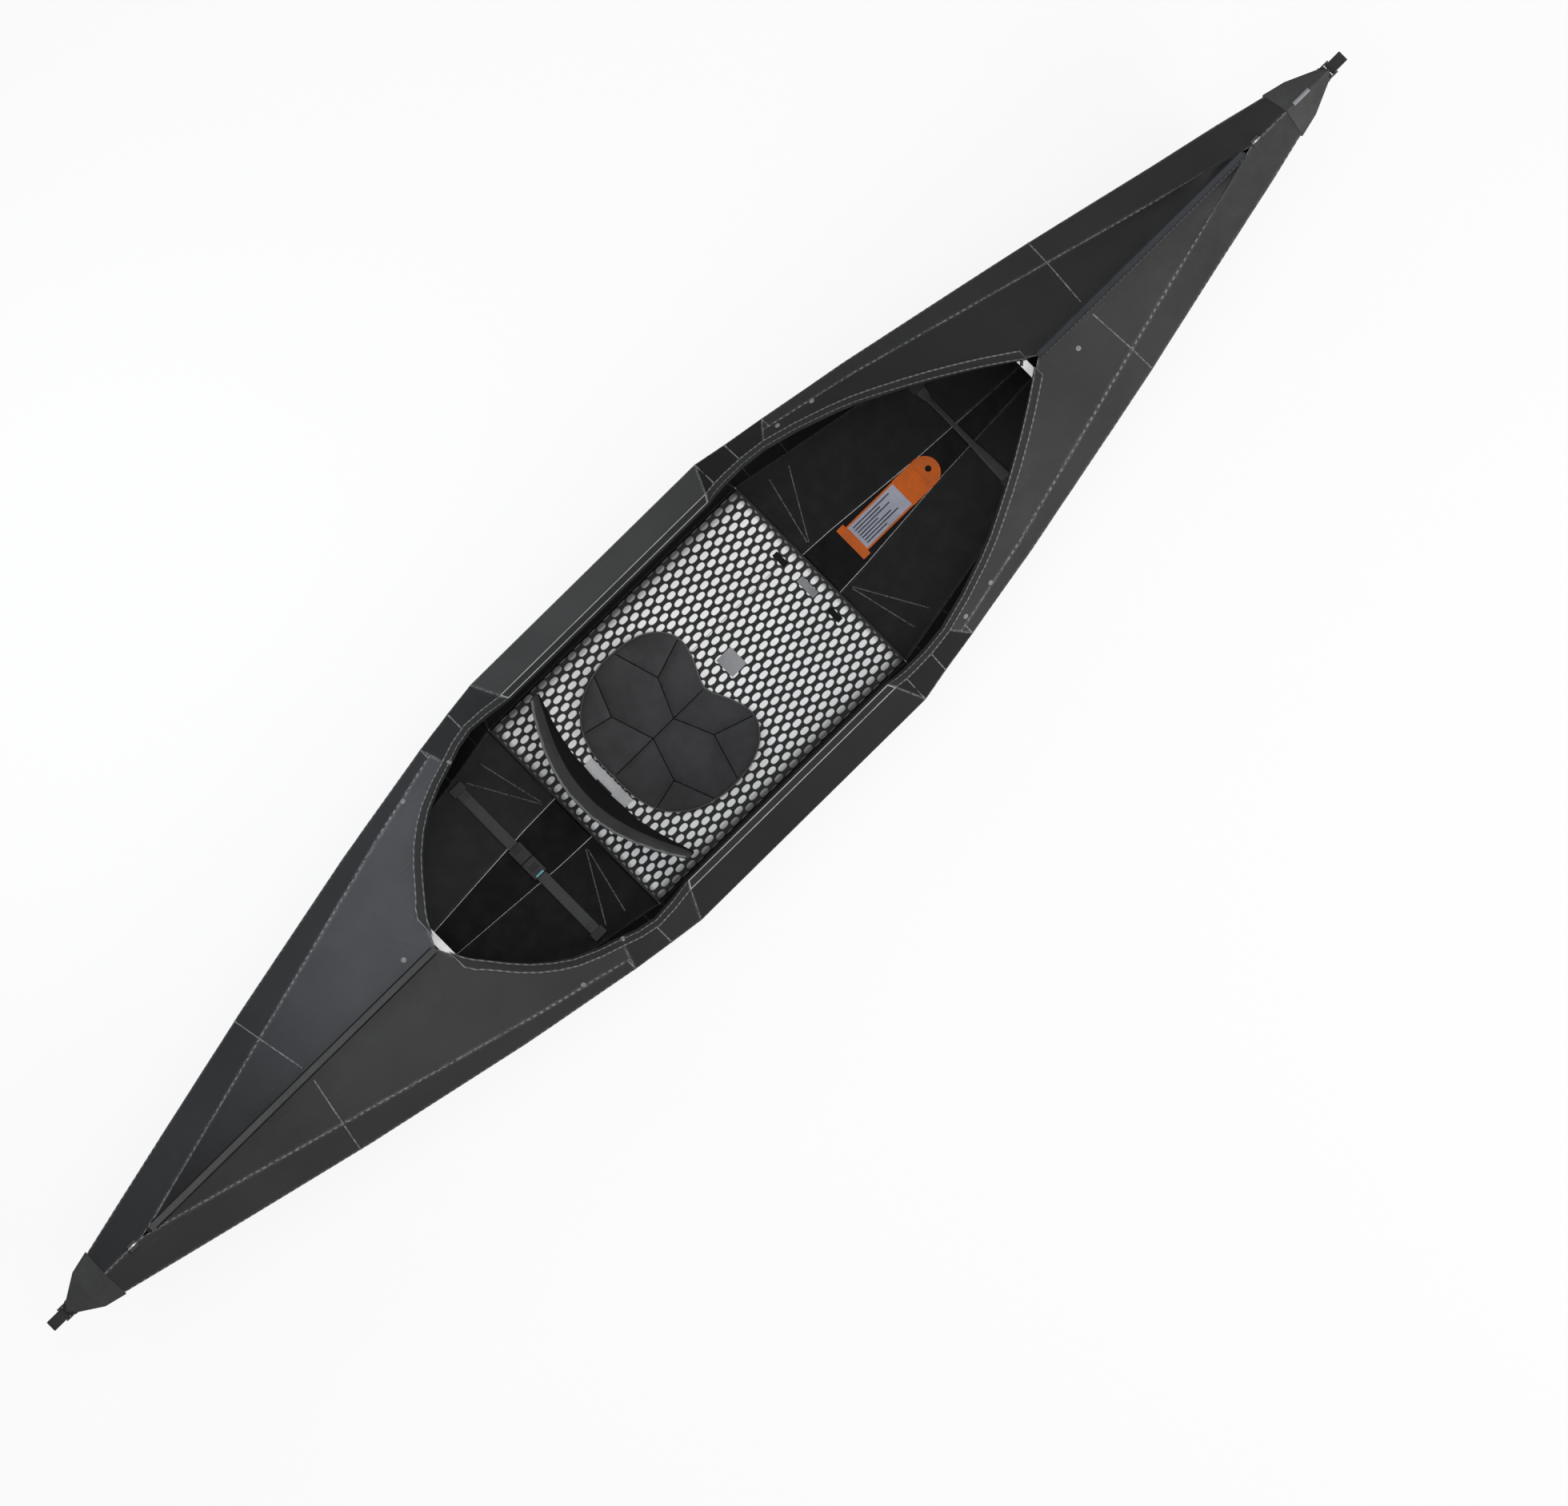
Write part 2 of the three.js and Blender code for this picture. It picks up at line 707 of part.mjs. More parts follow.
// The upright seam that an inner deck panel turns up along the ridge
function seamGeometry(end, side) {
  const { apex, deckCreaseEnd, ridgeAt } = end.points;
  const sign = side === "port" ? 1 : -1;
  const rings = [apex.x + seam.endInset, deckCreaseEnd.x - seam.endInset].map((x) => {
    const z = ridgeAt(x).z;
    const inner = sign * creaseGap;
    const outer = sign * (creaseGap + seam.thickness);
    return [
      vector(end.direction * x, inner, z - seam.sunk),
      vector(end.direction * x, outer, z - seam.sunk),
      vector(end.direction * x, outer, z + seam.height),
      vector(end.direction * x, inner, z + seam.height),
    ];
  });
  return loft(rings);
}

function withSeam(end) {
  return (geometry, side) => geometryOf(solidOf(geometry).add(solidOf(seamGeometry(end, side))));
}

// Skin: the middle box, then both ends
const middle = [sternFoldIndex, bowFoldIndex];
addPiece(
  "mid_bottom_panel",
  panelGeometry(...middle, [starboardLine("chine"), portLine("chine")]),
  materials.skinDark,
);
panelPair("mid_side", ...middle, ["chine", "gunwale"], materials.skin);
panelPair("mid_shoulder", ...middle, ["gunwale", "rim"], materials.skin);

for (const end of [stern, bow]) {
  const range = (fromShare, toShare) => [indexOf(end, fromShare), indexOf(end, toShare)].sort((a, b) => a - b);
  const whole = range(0, 1);
  const sideDeck = range(0, end.foldShare);
  const outerDeck = range(end.foldShare, 1);
  const innerDeck = range(end.foldShare, end.deckCreaseEndShare);
  const keel = panelGeometry(...whole, [starboardLine("keel"), portLine("keel")]);
  addPiece(`${end.name}_keel_strip`, keel, materials.skinDark);
  panelPair(`${end.name}_bilge`, ...whole, ["keel", "chine"], materials.skinDark);
  panelPair(`${end.name}_side`, ...whole, ["chine", "gunwale"], materials.skin);
  panelPair(`${end.name}_side_deck`, ...sideDeck, ["gunwale", "deck", "rim"], materials.skin);
  panelPair(`${end.name}_outer_deck`, ...outerDeck, ["gunwale", "deck"], materials.skin);
  panelPair(`${end.name}_inner_deck`, ...innerDeck, ["deck", "rim"], materials.skin, withSeam(end));
}

// Deck rails: channels over the upright seams
function railGeometry(end) {
  const { apex, deckCreaseEnd, ridgeAt } = end.points;
  const inner = creaseGap + seam.thickness + rail.clearance;
  const outer = inner + rail.wall;
  const ceiling = seam.height + rail.clearance;
  const section = [
    [-outer, rail.clearance],
    [-inner, rail.clearance],
    [-inner, ceiling],
    [inner, ceiling],
    [inner, rail.clearance],
    [outer, rail.clearance],
    [outer, ceiling + rail.top],
    [-outer, ceiling + rail.top],
  ];
  const rings = [apex.x, deckCreaseEnd.x].map((x) =>
    section.map(([y, rise]) => vector(end.direction * x, y, ridgeAt(x).z + rise)));
  return loft(rings, outlineFaces(section.map(([y, z]) => new THREE.Vector2(y, z))));
}
addPiece("bow_deck_rail", railGeometry(bow), materials.rail);
addPiece("stern_deck_rail", railGeometry(stern), materials.rail);

// Rim trims: a channel clipped over the deck's inner edge
const trimSection = (() => {
  const { clearance, flange, web, outerWidth, innerWidth } = trim;
  const under = skinThickness + clearance;
  return [
    [-clearance - web, clearance + flange],
    [outerWidth, clearance + flange],
    [outerWidth, clearance],
    [-clearance, clearance],
    [-clearance, -under],
    [innerWidth, -under],
    [innerWidth, -under - flange],
    [-clearance - web, -under - flange],
  ];
})();
const trimEndFaces = outlineFaces(trimSection.map(([u, v]) => new THREE.Vector2(u, v)));

function trimRings(from, to) {
  const rings = [];
  for (let i = from; i <= to; i += 1) {
    const { rim, deck, rimNormal } = hull[i];
    const square = hull[i + 1].rim.clone().sub(hull[i - 1].rim).cross(rimNormal).normalize();
    const outboard = deck.clone().sub(rim);
    outboard.divideScalar(Math.abs(outboard.dot(square)));
    rings.push(trimSection.map(([u, v]) => rim.clone().addScaledVector(outboard, u).addScaledVector(rimNormal, v)));
  }
  const end = rings.length - 1;
  const first = rings[0].map((point, k) => stepTo(point, rings[1][k], creaseGap));
  const last = rings[end].map((point, k) => stepTo(point, rings[end - 1][k], creaseGap));
  return [first, ...rings.slice(1, end), last];
}

// The port skin beside the rim, grown by the seating gap, to clear the inside of the trim
function rimSkin(from, to) {
  const rings = [];
  for (let i = from; i <= to; i += 1) {
    const [above, below] = [seatGap, -skinThickness - seatGap];
    rings.push([
      grown(hull[i], "deck", above),
      grown(hull[i], "rim", above),
      grown(hull[i], "rim", below),
      grown(hull[i], "deck", below),
    ]);
  }
  return solidOf(slabLoft(rings));
}

function mirroredGeometry(geometry) {
  const copy = geometry.clone().scale(1, -1, 1);
  const index = Array.from(copy.index.array);
  for (let i = 0; i < index.length; i += 3) {
    [index[i + 1], index[i + 2]] = [index[i + 2], index[i + 1]];
  }
  copy.setIndex(index);
  return copy;
}

const trimStations = {
  mid: [sternFoldIndex, bowFoldIndex],
  bow: [bowFoldIndex, indexOf(bow, bow.trimEndShare)],
  stern: [indexOf(stern, stern.trimEndShare), sternFoldIndex],
};
for (const [place, [from, to]] of Object.entries(trimStations)) {
  const whole = solidOf(loft(trimRings(from, to), trimEndFaces));
  const port = geometryOf(whole.subtract(rimSkin(from, to)));
  addPiece(`${place}_rim_trim_port`, port, materials.trim);
  addPiece(`${place}_rim_trim_starboard`, mirroredGeometry(port), materials.trim);
}

// The hull's outer shape, grown or shrunk, between two stations, as one solid
function envelope(from, to, columns, growth) {
  const rings = [];
  for (let i = from; i <= to; i += 1) {
    const port = columns.map((column) => grown(hull[i], column, growth));
    const starboard = columns.filter((column) => hull[i][column].y !== 0).map((column) =>
      mirrored(grown(hull[i], column, growth)));
    rings.push([...port, ...starboard.reverse()]);
  }
  return rings;
}

function envelopeSolid(rings) {
  const sides = rings[0].map((_, k) => k);
  const starboardSides = sides.filter((k) => k >= Math.floor(sides.length / 2));
  const endFaces = sides.slice(1, -1).map((k) => [0, k, k + 1]);
  return solidOf(loft(rings, endFaces, starboardSides));
}

// Space inside the skin, with the seating gap, over the stations of one end up to its rim trims
function innerSpace(end) {
  const range = [indexOf(end, 0), indexOf(end, end.apexShare)].sort((a, b) => a - b);
  const [from, to] = end.direction > 0 ? [range[0], range[1] - 1] : [range[0] + 1, range[1]];
  const columns = ["keel", "chine", "gunwale", "deck", "rim"];
  return envelopeSolid(envelope(from, to, columns, -skinThickness - seatGap));
}

// The rim at a distance from the hull's middle, in the terms of an end that points to +X
function rimAt(end, x) {
  const next = end.stations.findIndex((station) => station.rim.x >= x);
  const [low, high] = [end.stations[next - 1].rim, end.stations[next].rim];
  return mix(low, high, (x - low.x) / (high.x - low.x));
}

// Height of the lowest edge of the rim trim where it crosses a value of x near its end
function trimFootAt(end, x) {
  const last = indexOf(end, end.trimEndShare);
  const [from, to] = [last - end.direction, last].sort((a, b) => a - b);
  const feet = trimRings(from, to).map((ring) => ring.reduce((low, point) => (point.z < low.z ? point : low)));
  return THREE.MathUtils.mapLinear(x, feet[0].x, feet[1].x, feet[0].z, feet[1].z);
}

// Apex plates: trapezoids as wide as the rim and an overlap to each side
for (const end of [stern, bow]) {
  const front = end.apexX - end.plateSetback;
  const back = front - apexPlate.length;
  const top = trimFootAt(end, end.direction * back) - seatGap;
  const bottom = top - apexPlate.thickness;
  const rings = [back, front].map((x) => {
    const halfWidth = rimAt(end, x).y + apexPlate.overlap;
    return [
      vector(end.direction * x, -halfWidth, bottom),
      vector(end.direction * x, halfWidth, bottom),
      vector(end.direction * x, halfWidth, top),
      vector(end.direction * x, -halfWidth, top),
    ];
  });
  addPiece(`${end.name}_apex_plate`, loft(rings), materials.pale);
}

// End caps. Points are given in the stem's own terms: a share of its length, and a depth behind it.
function onStem(end, share, depth) {
  const foot = new THREE.Vector2(end.stemFootX, end.stemFootHeight);
  const head = new THREE.Vector2(end.stemHeadX, end.stemHeadHeight);
  const up = head.clone().sub(foot);
  const back = new THREE.Vector2(-up.y, up.x).normalize();
  const point = foot.clone().addScaledVector(up, share).addScaledVector(back, depth);
  return point.setX(end.direction * point.x);
}

function capOutline(end) {
  const { footTop, waistLow, waistHigh, headLow } = cap.outlineShares;
  const stemLength = Math.hypot(end.stemHeadX - end.stemFootX, end.stemHeadHeight - end.stemFootHeight);
  const above = 1 + cap.headroom / stemLength;
  const below = -cap.headroom / stemLength;
  const front = -cap.nose - cap.headroom;
  return [
    onStem(end, below, front),
    onStem(end, above, front),
    onStem(end, above, cap.blockDepth),
    onStem(end, headLow, cap.blockDepth),
    onStem(end, waistHigh, cap.waistDepth),
    onStem(end, waistLow, cap.waistDepth),
    onStem(end, footTop, cap.footDepth),
    onStem(end, below, cap.footDepth),
  ];
}

// The hull's end as a solid grown by a distance, and carried forward of the stem by a reach
function stemSolid(end, growth, reach) {
  const start = indexOf(end, end.deckCreaseEndShare) - end.direction;
  const range = [start, indexOf(end, 1)].sort((a, b) => a - b);
  const rings = envelope(...range, ["keel", "chine", "gunwale", "rim"], growth);
  const stemRing = end.direction > 0 ? rings.at(-1) : rings[0];
  const stemBase = onStem(end, 0, 0);
  const forward = onStem(end, 0, -reach).sub(stemBase);
  const moved = stemRing.map((point) => point.clone().add(vector(forward.x, 0, forward.y)));
  return envelopeSolid(end.direction > 0 ? [...rings, moved] : [moved, ...rings]);
}

function loopBarPlace(end) {
  const head = onStem(end, 1, -cap.nose);
  return { x: head.x + end.direction * loopBar.reach, z: head.y - loopBar.drop };
}

for (const end of [stern, bow]) {
  const shell = stemSolid(end, cap.wall + seatGap, cap.nose).subtract(stemSolid(end, seatGap, seatGap));
  const outline = solidOf(extrudeAcross(capOutline(end), gunwaleHalfWidth));
  const place = loopBarPlace(end);
  const cheekInner = grabLoop.width / 2 + grabLoop.barClearance;
  const cheekOuter = cheekInner + loopBar.cheekThickness;
  const bar = solidOf(barAcross(loopBar.radius, place.x, place.z, -cheekOuter + loopBar.cheekThickness / 2,
    cheekOuter - loopBar.cheekThickness / 2, loopBar.segments));
  const rootX = place.x - end.direction * (loopBar.reach + cap.nose);
  const frontX = place.x + end.direction * loopBar.radius * 2;
  const [x0, x1] = [rootX, frontX].sort((a, b) => a - b);
  let solid = shell.intersect(outline);
  for (const side of [1, -1]) {
    const [y0, y1] = [side * cheekInner, side * cheekOuter].sort((a, b) => a - b);
    const halfHeight = loopBar.cheekHeight / 2;
    const cheek = solidOf(box(x0, x1, y0, y1, place.z - halfHeight, place.z + halfHeight));
    solid = solid.add(cheek.subtract(stemSolid(end, seatGap, seatGap)));
  }
  addPiece(`${end.name}_end_cap`, geometryOf(solid.add(bar)), materials.cap);
}

// Grab loops: webbing round the bar, in the shape of two circles and their tangents
function teardrop(nearRadius, farRadius, length, direction, rise) {
  const tangent = Math.acos((nearRadius - farRadius) / length);
  const points = [];
  const arc = (centre, radius, from, to) => {
    for (let i = 0; i <= grabLoop.segments; i += 1) {
      const angle = from + ((to - from) * i) / grabLoop.segments;
      points.push(new THREE.Vector2(centre + radius * Math.cos(angle), radius * Math.sin(angle)));
    }
  };
  arc(length, farRadius, -tangent, tangent);
  arc(0, nearRadius, tangent, 2 * Math.PI - tangent);
  return points.map((point) => {
    point.rotateAround(new THREE.Vector2(0, 0), rise);
    return point.setX(direction * point.x);
  });
}

for (const [end, rise] of [[stern, sternLoopRise], [bow, bowLoopRise]]) {
  const inner = loopBar.radius + grabLoop.barClearance;
  const { thickness, tipRadius, length, width } = grabLoop;
  const hole = teardrop(inner, tipRadius - thickness, length, end.direction, rise);
  const outline = teardrop(inner + thickness, tipRadius, length, end.direction, rise);
  const place = loopBarPlace(end);
  const loop = addPiece(`${end.name}_grab_loop`, extrudeAcross(outline, width, hole), materials.web);
  loop.position.set(place.x, 0, place.z);
}

// Deck rings and their saddles
function ringOutline(halfLength, bottom, top) {
  const rise = top - bottom - halfLength;
  const points = [new THREE.Vector2(-halfLength, bottom), new THREE.Vector2(halfLength, bottom)];
  for (let i = 0; i <= ring.segments; i += 1) {
    const angle = (Math.PI * i) / ring.segments;
    points.push(new THREE.Vector2(
      halfLength * Math.cos(angle),
      bottom + rise + halfLength * Math.sin(angle),
    ));
  }
  return points;
}

for (const [end, ringX] of [[stern, sternRingX], [bow, bowRingX]]) {
  const x = end.direction * ringX;
  const ridge = end.points.ridgeAt(ringX).z;
  const boreZ = ridge + saddle.boreHeight;
  const half = saddle.length / 2;
  const top = boreZ + saddle.boreRadius + saddle.roof;
  const block = solidOf(box(x - half, x + half, -saddle.width / 2, saddle.width / 2, ridge - saddle.sunk, top));
  const boreLength = saddle.length + 2 * cutOverrun;
  const bore = new THREE.CylinderGeometry(saddle.boreRadius, saddle.boreRadius, boreLength, saddle.segments);
  bore.rotateZ(Math.PI / 2).translate(x, 0, boreZ);
  const seated = block.subtract(stemSolid(end, seatGap, seatGap)).subtract(solidOf(bore));
  addPiece(`${end.name}_ring_saddle`, geometryOf(seated), materials.cap);

  const innerHalf = half + ring.clearance;
  const outerHalf = innerHalf + ring.bar;
  const outline = ringOutline(outerHalf, -ring.bar / 2, ring.height);
  const hole = ringOutline(innerHalf, ring.bar / 2, ring.height - ring.bar);
  const loop = addPiece(`${end.name}_deck_ring`, extrudeAcross(outline, ring.bar, hole), materials.pale);
  loop.position.set(x, 0, boreZ);
}

// Floorboard
const boardBottom = skinThickness + seatGap;
const boardTop = boardBottom + board.thickness;
const boardHalfWidth = board.width / 2;
let boardSolid = solidOf(
  box(-board.halfLength, board.halfLength, -boardHalfWidth, boardHalfWidth, boardBottom, boardTop),
);
for (const side of [1, -1]) {
  const y = side * board.slotY;
  const [halfX, halfY] = [board.slotLength / 2, board.slotWidth / 2];
  const slot = box(
    board.slotX - halfX,
    board.slotX + halfX,
    y - halfY,
    y + halfY,
    boardBottom - cutOverrun,
    boardTop + cutOverrun,
  );
  boardSolid = boardSolid.subtract(solidOf(slot));
}
addPiece("floorboard", geometryOf(boardSolid), materials.floor);

// Seat pad: rings from the middle of the top to the edge, round the side and in again underneath
const bracketFrontX = bracket.pinX + bracket.plateLength;
const padFrontX = bracketFrontX + pad.backClearance + pad.length;
const padPoint = ([x, y]) => new THREE.Vector2(padFrontX - x * pad.length, y * pad.halfWidth);
const padBottom = boardTop + seatGap;

function padOutline() {
  const port = pad.outlineShares.map(padPoint);
  const starboard = port.slice(1, -1).reverse().map((point) => new THREE.Vector2(point.x, -point.y));
  const points = [...port, ...starboard].map((point) => vector(point.x, point.y, 0));
  return new THREE.CatmullRomCurve3(points, true, "centripetal").getSpacedPoints(pad.sides).slice(0, -1);
}

function distanceToChannel(point) {
  const onPort = new THREE.Vector3(point.x, Math.abs(point.y), 0);
  const distances = channelShares.map((ends) => {
    const [from, to] = ends.map(padPoint).map((end) => vector(end.x, end.y, 0));
    return new THREE.Line3(from, to).closestPointToPoint(onPort, true, vector(0, 0, 0)).distanceTo(onPort);
  });
  return Math.min(...distances);
}

function padGeometry() {
  const edge = padOutline();
  const middle = vector(padFrontX - pad.middleShare * pad.length, 0, 0);
  const ringAt = (share, heightAt) => edge.map((point) => {
    const place = mix(middle, point, share);
    return place.setZ(padBottom + heightAt(place));
  });
  const rise = pad.thickness - pad.edgeHeight;
  const crown = (share) => pad.edgeHeight + rise * Math.sqrt(1 - share ** pad.crownPower);
  const points = [];
  const topAt = (place, share) => {
    const fade = 1 - share ** pad.edgePower;
    const dip = fade * pad.channelDepth * Math.exp(-((distanceToChannel(place) / pad.channelWidth) ** 2));
    return crown(share) - dip;
  };
  for (let r = 1; r <= pad.rings; r += 1) {
    const share = Math.sin((Math.PI / 2) * (r / pad.rings));
    points.push(ringAt(share, (place) => topAt(place, share)));
  }
  const inset = 1 - pad.drawnIn / pad.halfWidth;
  points.push(ringAt(1, () => pad.edgeHeight / 2));
  points.push(ringAt(inset, () => 0));
  const count = edge.length;
  const flat = points.flat();
  const topMiddle = flat.push(middle.clone().setZ(padBottom + topAt(middle, 0))) - 1;
  const bottomMiddle = flat.push(middle.clone().setZ(padBottom)) - 1;
  const faces = [];
  for (let k = 0; k < count; k += 1) {
    const next = (k + 1) % count;
    faces.push([topMiddle, k, next]);
    for (let r = 0; r + 1 < points.length; r += 1) {
      const [a, b] = [r * count + k, r * count + next];
      faces.push([a, a + count, b + count], [a, b + count, b]);
    }
    const last = (points.length - 1) * count;
    faces.push([bottomMiddle, last + next, last + k]);
  }
  return closedGeometry(flat, faces);
}
addPiece("seat_pad", padGeometry(), materials.pad);

// Seat bracket: a plate on the floorboard with two knuckles and the hinge pin
const bracketBottom = boardTop + seatGap;
const pinZ = bracketBottom + bracket.knuckleRadius;
const knuckleInner = backrest.knuckleHalfWidth + bracket.knuckleGap;

function bracketGeometry() {
  const { halfWidth, thickness, pinX, pinRadius, knuckleRadius, segments } = bracket;
  const plate = box(pinX, bracketFrontX, -halfWidth, halfWidth, bracketBottom, bracketBottom + thickness);
  const pocketBack = pinX - knuckleRadius - bracket.knuckleGap;
  const pocketFront = pinX + knuckleRadius + bracket.knuckleGap;
  const pocket = box(pocketBack, pocketFront, -knuckleInner, knuckleInner,
    bracketBottom - cutOverrun, bracketBottom + thickness + cutOverrun);
  let solid = solidOf(plate).subtract(solidOf(pocket));
  solid = solid.add(solidOf(barAcross(knuckleRadius, pinX, pinZ, knuckleInner, halfWidth, segments)));
  solid = solid.add(solidOf(barAcross(knuckleRadius, pinX, pinZ, -halfWidth, -knuckleInner, segments)));
  const pinHalf = (knuckleInner + halfWidth) / 2;
  solid = solid.add(solidOf(barAcross(pinRadius, pinX, pinZ, -pinHalf, pinHalf, segments)));
  return geometryOf(solid);
}
addPiece("seat_bracket", bracketGeometry(), materials.pale);

// Backrest: columns of rings across its width, then a knuckle at its foot
function leanAt(height) {
  const [, leanShare] = rowAt(backrest.leanShares, height / backrest.middleTop);
  return bracket.pinX - leanShare * backrest.lean;
}

function backrestBottom(y) {
  const { tongueHalfWidth, shoulderHalfWidth, tongueBottom, shoulderBottom, wingBottom } = backrest;
  if (y <= tongueHalfWidth) {
    return tongueBottom;
  }
  if (y <= shoulderHalfWidth) {
    const share = (y - tongueHalfWidth) / (shoulderHalfWidth - tongueHalfWidth);
    return THREE.MathUtils.lerp(tongueBottom, shoulderBottom, share);
  }
  const share = (y - shoulderHalfWidth) / (backrest.halfWidth - shoulderHalfWidth);
  return THREE.MathUtils.lerp(shoulderBottom, wingBottom, share ** 2);
}

function backrestRing(y) {
  const { rows, thickness, edgePower, edgeThinningShare, wingSweep, wingTop, middleTop } = backrest;
  const spread = (Math.abs(y) / backrest.halfWidth) ** 2;
  const top = middleTop - (middleTop - wingTop) * spread;
  const bottom = backrestBottom(Math.abs(y));
  const side = (sign) => (row) => {
    const share = row / rows;
    const height = THREE.MathUtils.lerp(bottom, top, share);
    const fullness = 1 - edgeThinningShare * Math.abs(2 * share - 1) ** edgePower;
    const x = leanAt(height) + wingSweep * spread + (sign * thickness * fullness) / 2;
    return vector(x, y, height);
  };
  const steps = Array.from({ length: rows + 1 }, (_, row) => row);
  return [...steps.map(side(1)), ...steps.reverse().map(side(-1))];
}

function backrestGeometry() {
  const { columns, rows, tongueHalfWidth, shoulderHalfWidth, knuckleHalfWidth } = backrest;
  const step = (2 * backrest.halfWidth) / columns;
  const spaced = Array.from({ length: columns + 1 }, (_, k) => k * step - backrest.halfWidth);
  const corners = [-shoulderHalfWidth, -tongueHalfWidth, tongueHalfWidth, shoulderHalfWidth];
  const places = [...spaced, ...corners].sort((a, b) => a - b);
  const rings = places.map(backrestRing);
  const quads = Array.from({ length: rows }, (_, row) => row);
  const endFaces = quads.flatMap((row) => {
    const [a, b, c, d] = [row, row + 1, 2 * rows - row, 2 * rows + 1 - row];
    return [[a, b, c], [a, c, d]];
  });
  const bore = bracket.pinRadius + bracket.boreClearance;
  const { pinX, knuckleRadius, segments } = bracket;
  const knuckle = barAcross(knuckleRadius, pinX, pinZ, -knuckleHalfWidth, knuckleHalfWidth, segments);
  const hole = barAcross(bore, pinX, pinZ, -knuckleHalfWidth - cutOverrun, knuckleHalfWidth + cutOverrun, segments);
  const footHeight = backrest.tongueBottom + backrest.thickness / 2;
  const footX = leanAt(footHeight);
  const neck = box(footX - knuckleRadius / 2, footX + knuckleRadius / 2, -knuckleHalfWidth, knuckleHalfWidth,
    pinZ, footHeight);
  return geometryOf(solidOf(loft(rings, endFaces)).add(solidOf(neck)).add(solidOf(knuckle)).subtract(solidOf(hole)));
}
addPiece("backrest", backrestGeometry(), materials.pad);

// Straps and anchors
const inner = { bow: innerSpace(bow), stern: innerSpace(stern) };

function addAnchors(name, end, strap) {
  const halfLength = anchor.length / 2;
  for (const [side, sign] of [["port", 1], ["starboard", -1]]) {
    const [y0, y1] = [sign * strap.halfSpan, sign * (strap.halfSpan + anchor.width)].sort((a, b) => a - b);
    const top = strap.height + webbing.thickness + anchor.cover;
    const block = solidOf(box(strap.x - halfLength, strap.x + halfLength, y0, y1, 0, top));
    addPiece(`${name}_anchor_${side}`, geometryOf(block.intersect(inner[end])), materials.buckle);
  }
}

function strapBox(strap, y0, y1) {
  const half = webbing.width / 2;
  return box(strap.x - half, strap.x + half, y0, y1, strap.height, strap.height + webbing.thickness);
}

const frontReach = frontStrap.halfSpan - seatGap;
addAnchors("front_strap", "bow", frontStrap);
addPiece("front_strap", strapBox(frontStrap, -frontReach, frontReach), materials.web);

const rearReach = rearStrap.halfSpan - seatGap;
addAnchors("rear_strap", "stern", rearStrap);
addPiece("rear_strap_port", strapBox(rearStrap, buckle.portEndY + seatGap, rearReach), materials.web);
const tunnelEndY = buckle.starboardEndY + buckle.tunnelDepth;
const webbingEndY = buckle.starboardEndY + buckle.webbingEntry;
addPiece("rear_strap_starboard", strapBox(rearStrap, -rearReach, webbingEndY), materials.web);

// Buckle halves, centred on the strap's middle height
const buckleZ = rearStrap.height + webbing.thickness / 2;

function centredBox(halfWidth, y0, y1, thickness) {
  return box(rearStrap.x - halfWidth, rearStrap.x + halfWidth, y0, y1, buckleZ - thickness / 2, buckleZ + thickness / 2);
}

const femaleBody = solidOf(centredBox(buckle.width / 2, buckle.meetY, buckle.portEndY, buckle.thickness));
const socket = centredBox(buckle.socketWidth / 2, buckle.meetY - cutOverrun, buckle.meetY + buckle.socketDepth,
  buckle.socketThickness);
addPiece("buckle_female", geometryOf(femaleBody.subtract(solidOf(socket))), materials.buckle);

const maleFaceY = buckle.meetY - seatGap;
const tunnelHalf = webbing.width / 2 + buckle.tunnelClearance;
const tunnel = centredBox(tunnelHalf, buckle.starboardEndY - cutOverrun, tunnelEndY,
  webbing.thickness + 2 * buckle.tunnelClearance);
let male = solidOf(centredBox(buckle.width / 2, buckle.starboardEndY, maleFaceY, buckle.thickness));
male = male.subtract(solidOf(tunnel));
for (const side of [1, -1]) {
  const prong = centredBox(buckle.prongWidth / 2, maleFaceY - cutOverrun, maleFaceY + buckle.prongLength,
    buckle.prongThickness);
  prong.translate((side * buckle.prongSpacing) / 2, 0, 0);
  male = male.add(solidOf(prong));
}
addPiece("buckle_male", geometryOf(male), materials.buckle);

// Tag: an orange holder with a round head, and a label card between its head and foot
const tagBottom = skinThickness + tag.lift;
const tagTop = tagBottom + tag.thickness;
const cardStartX = tag.startX + tag.footLength;
const headStartX = cardStartX + tag.cardLength;
const headEndX = headStartX + tag.headLength;

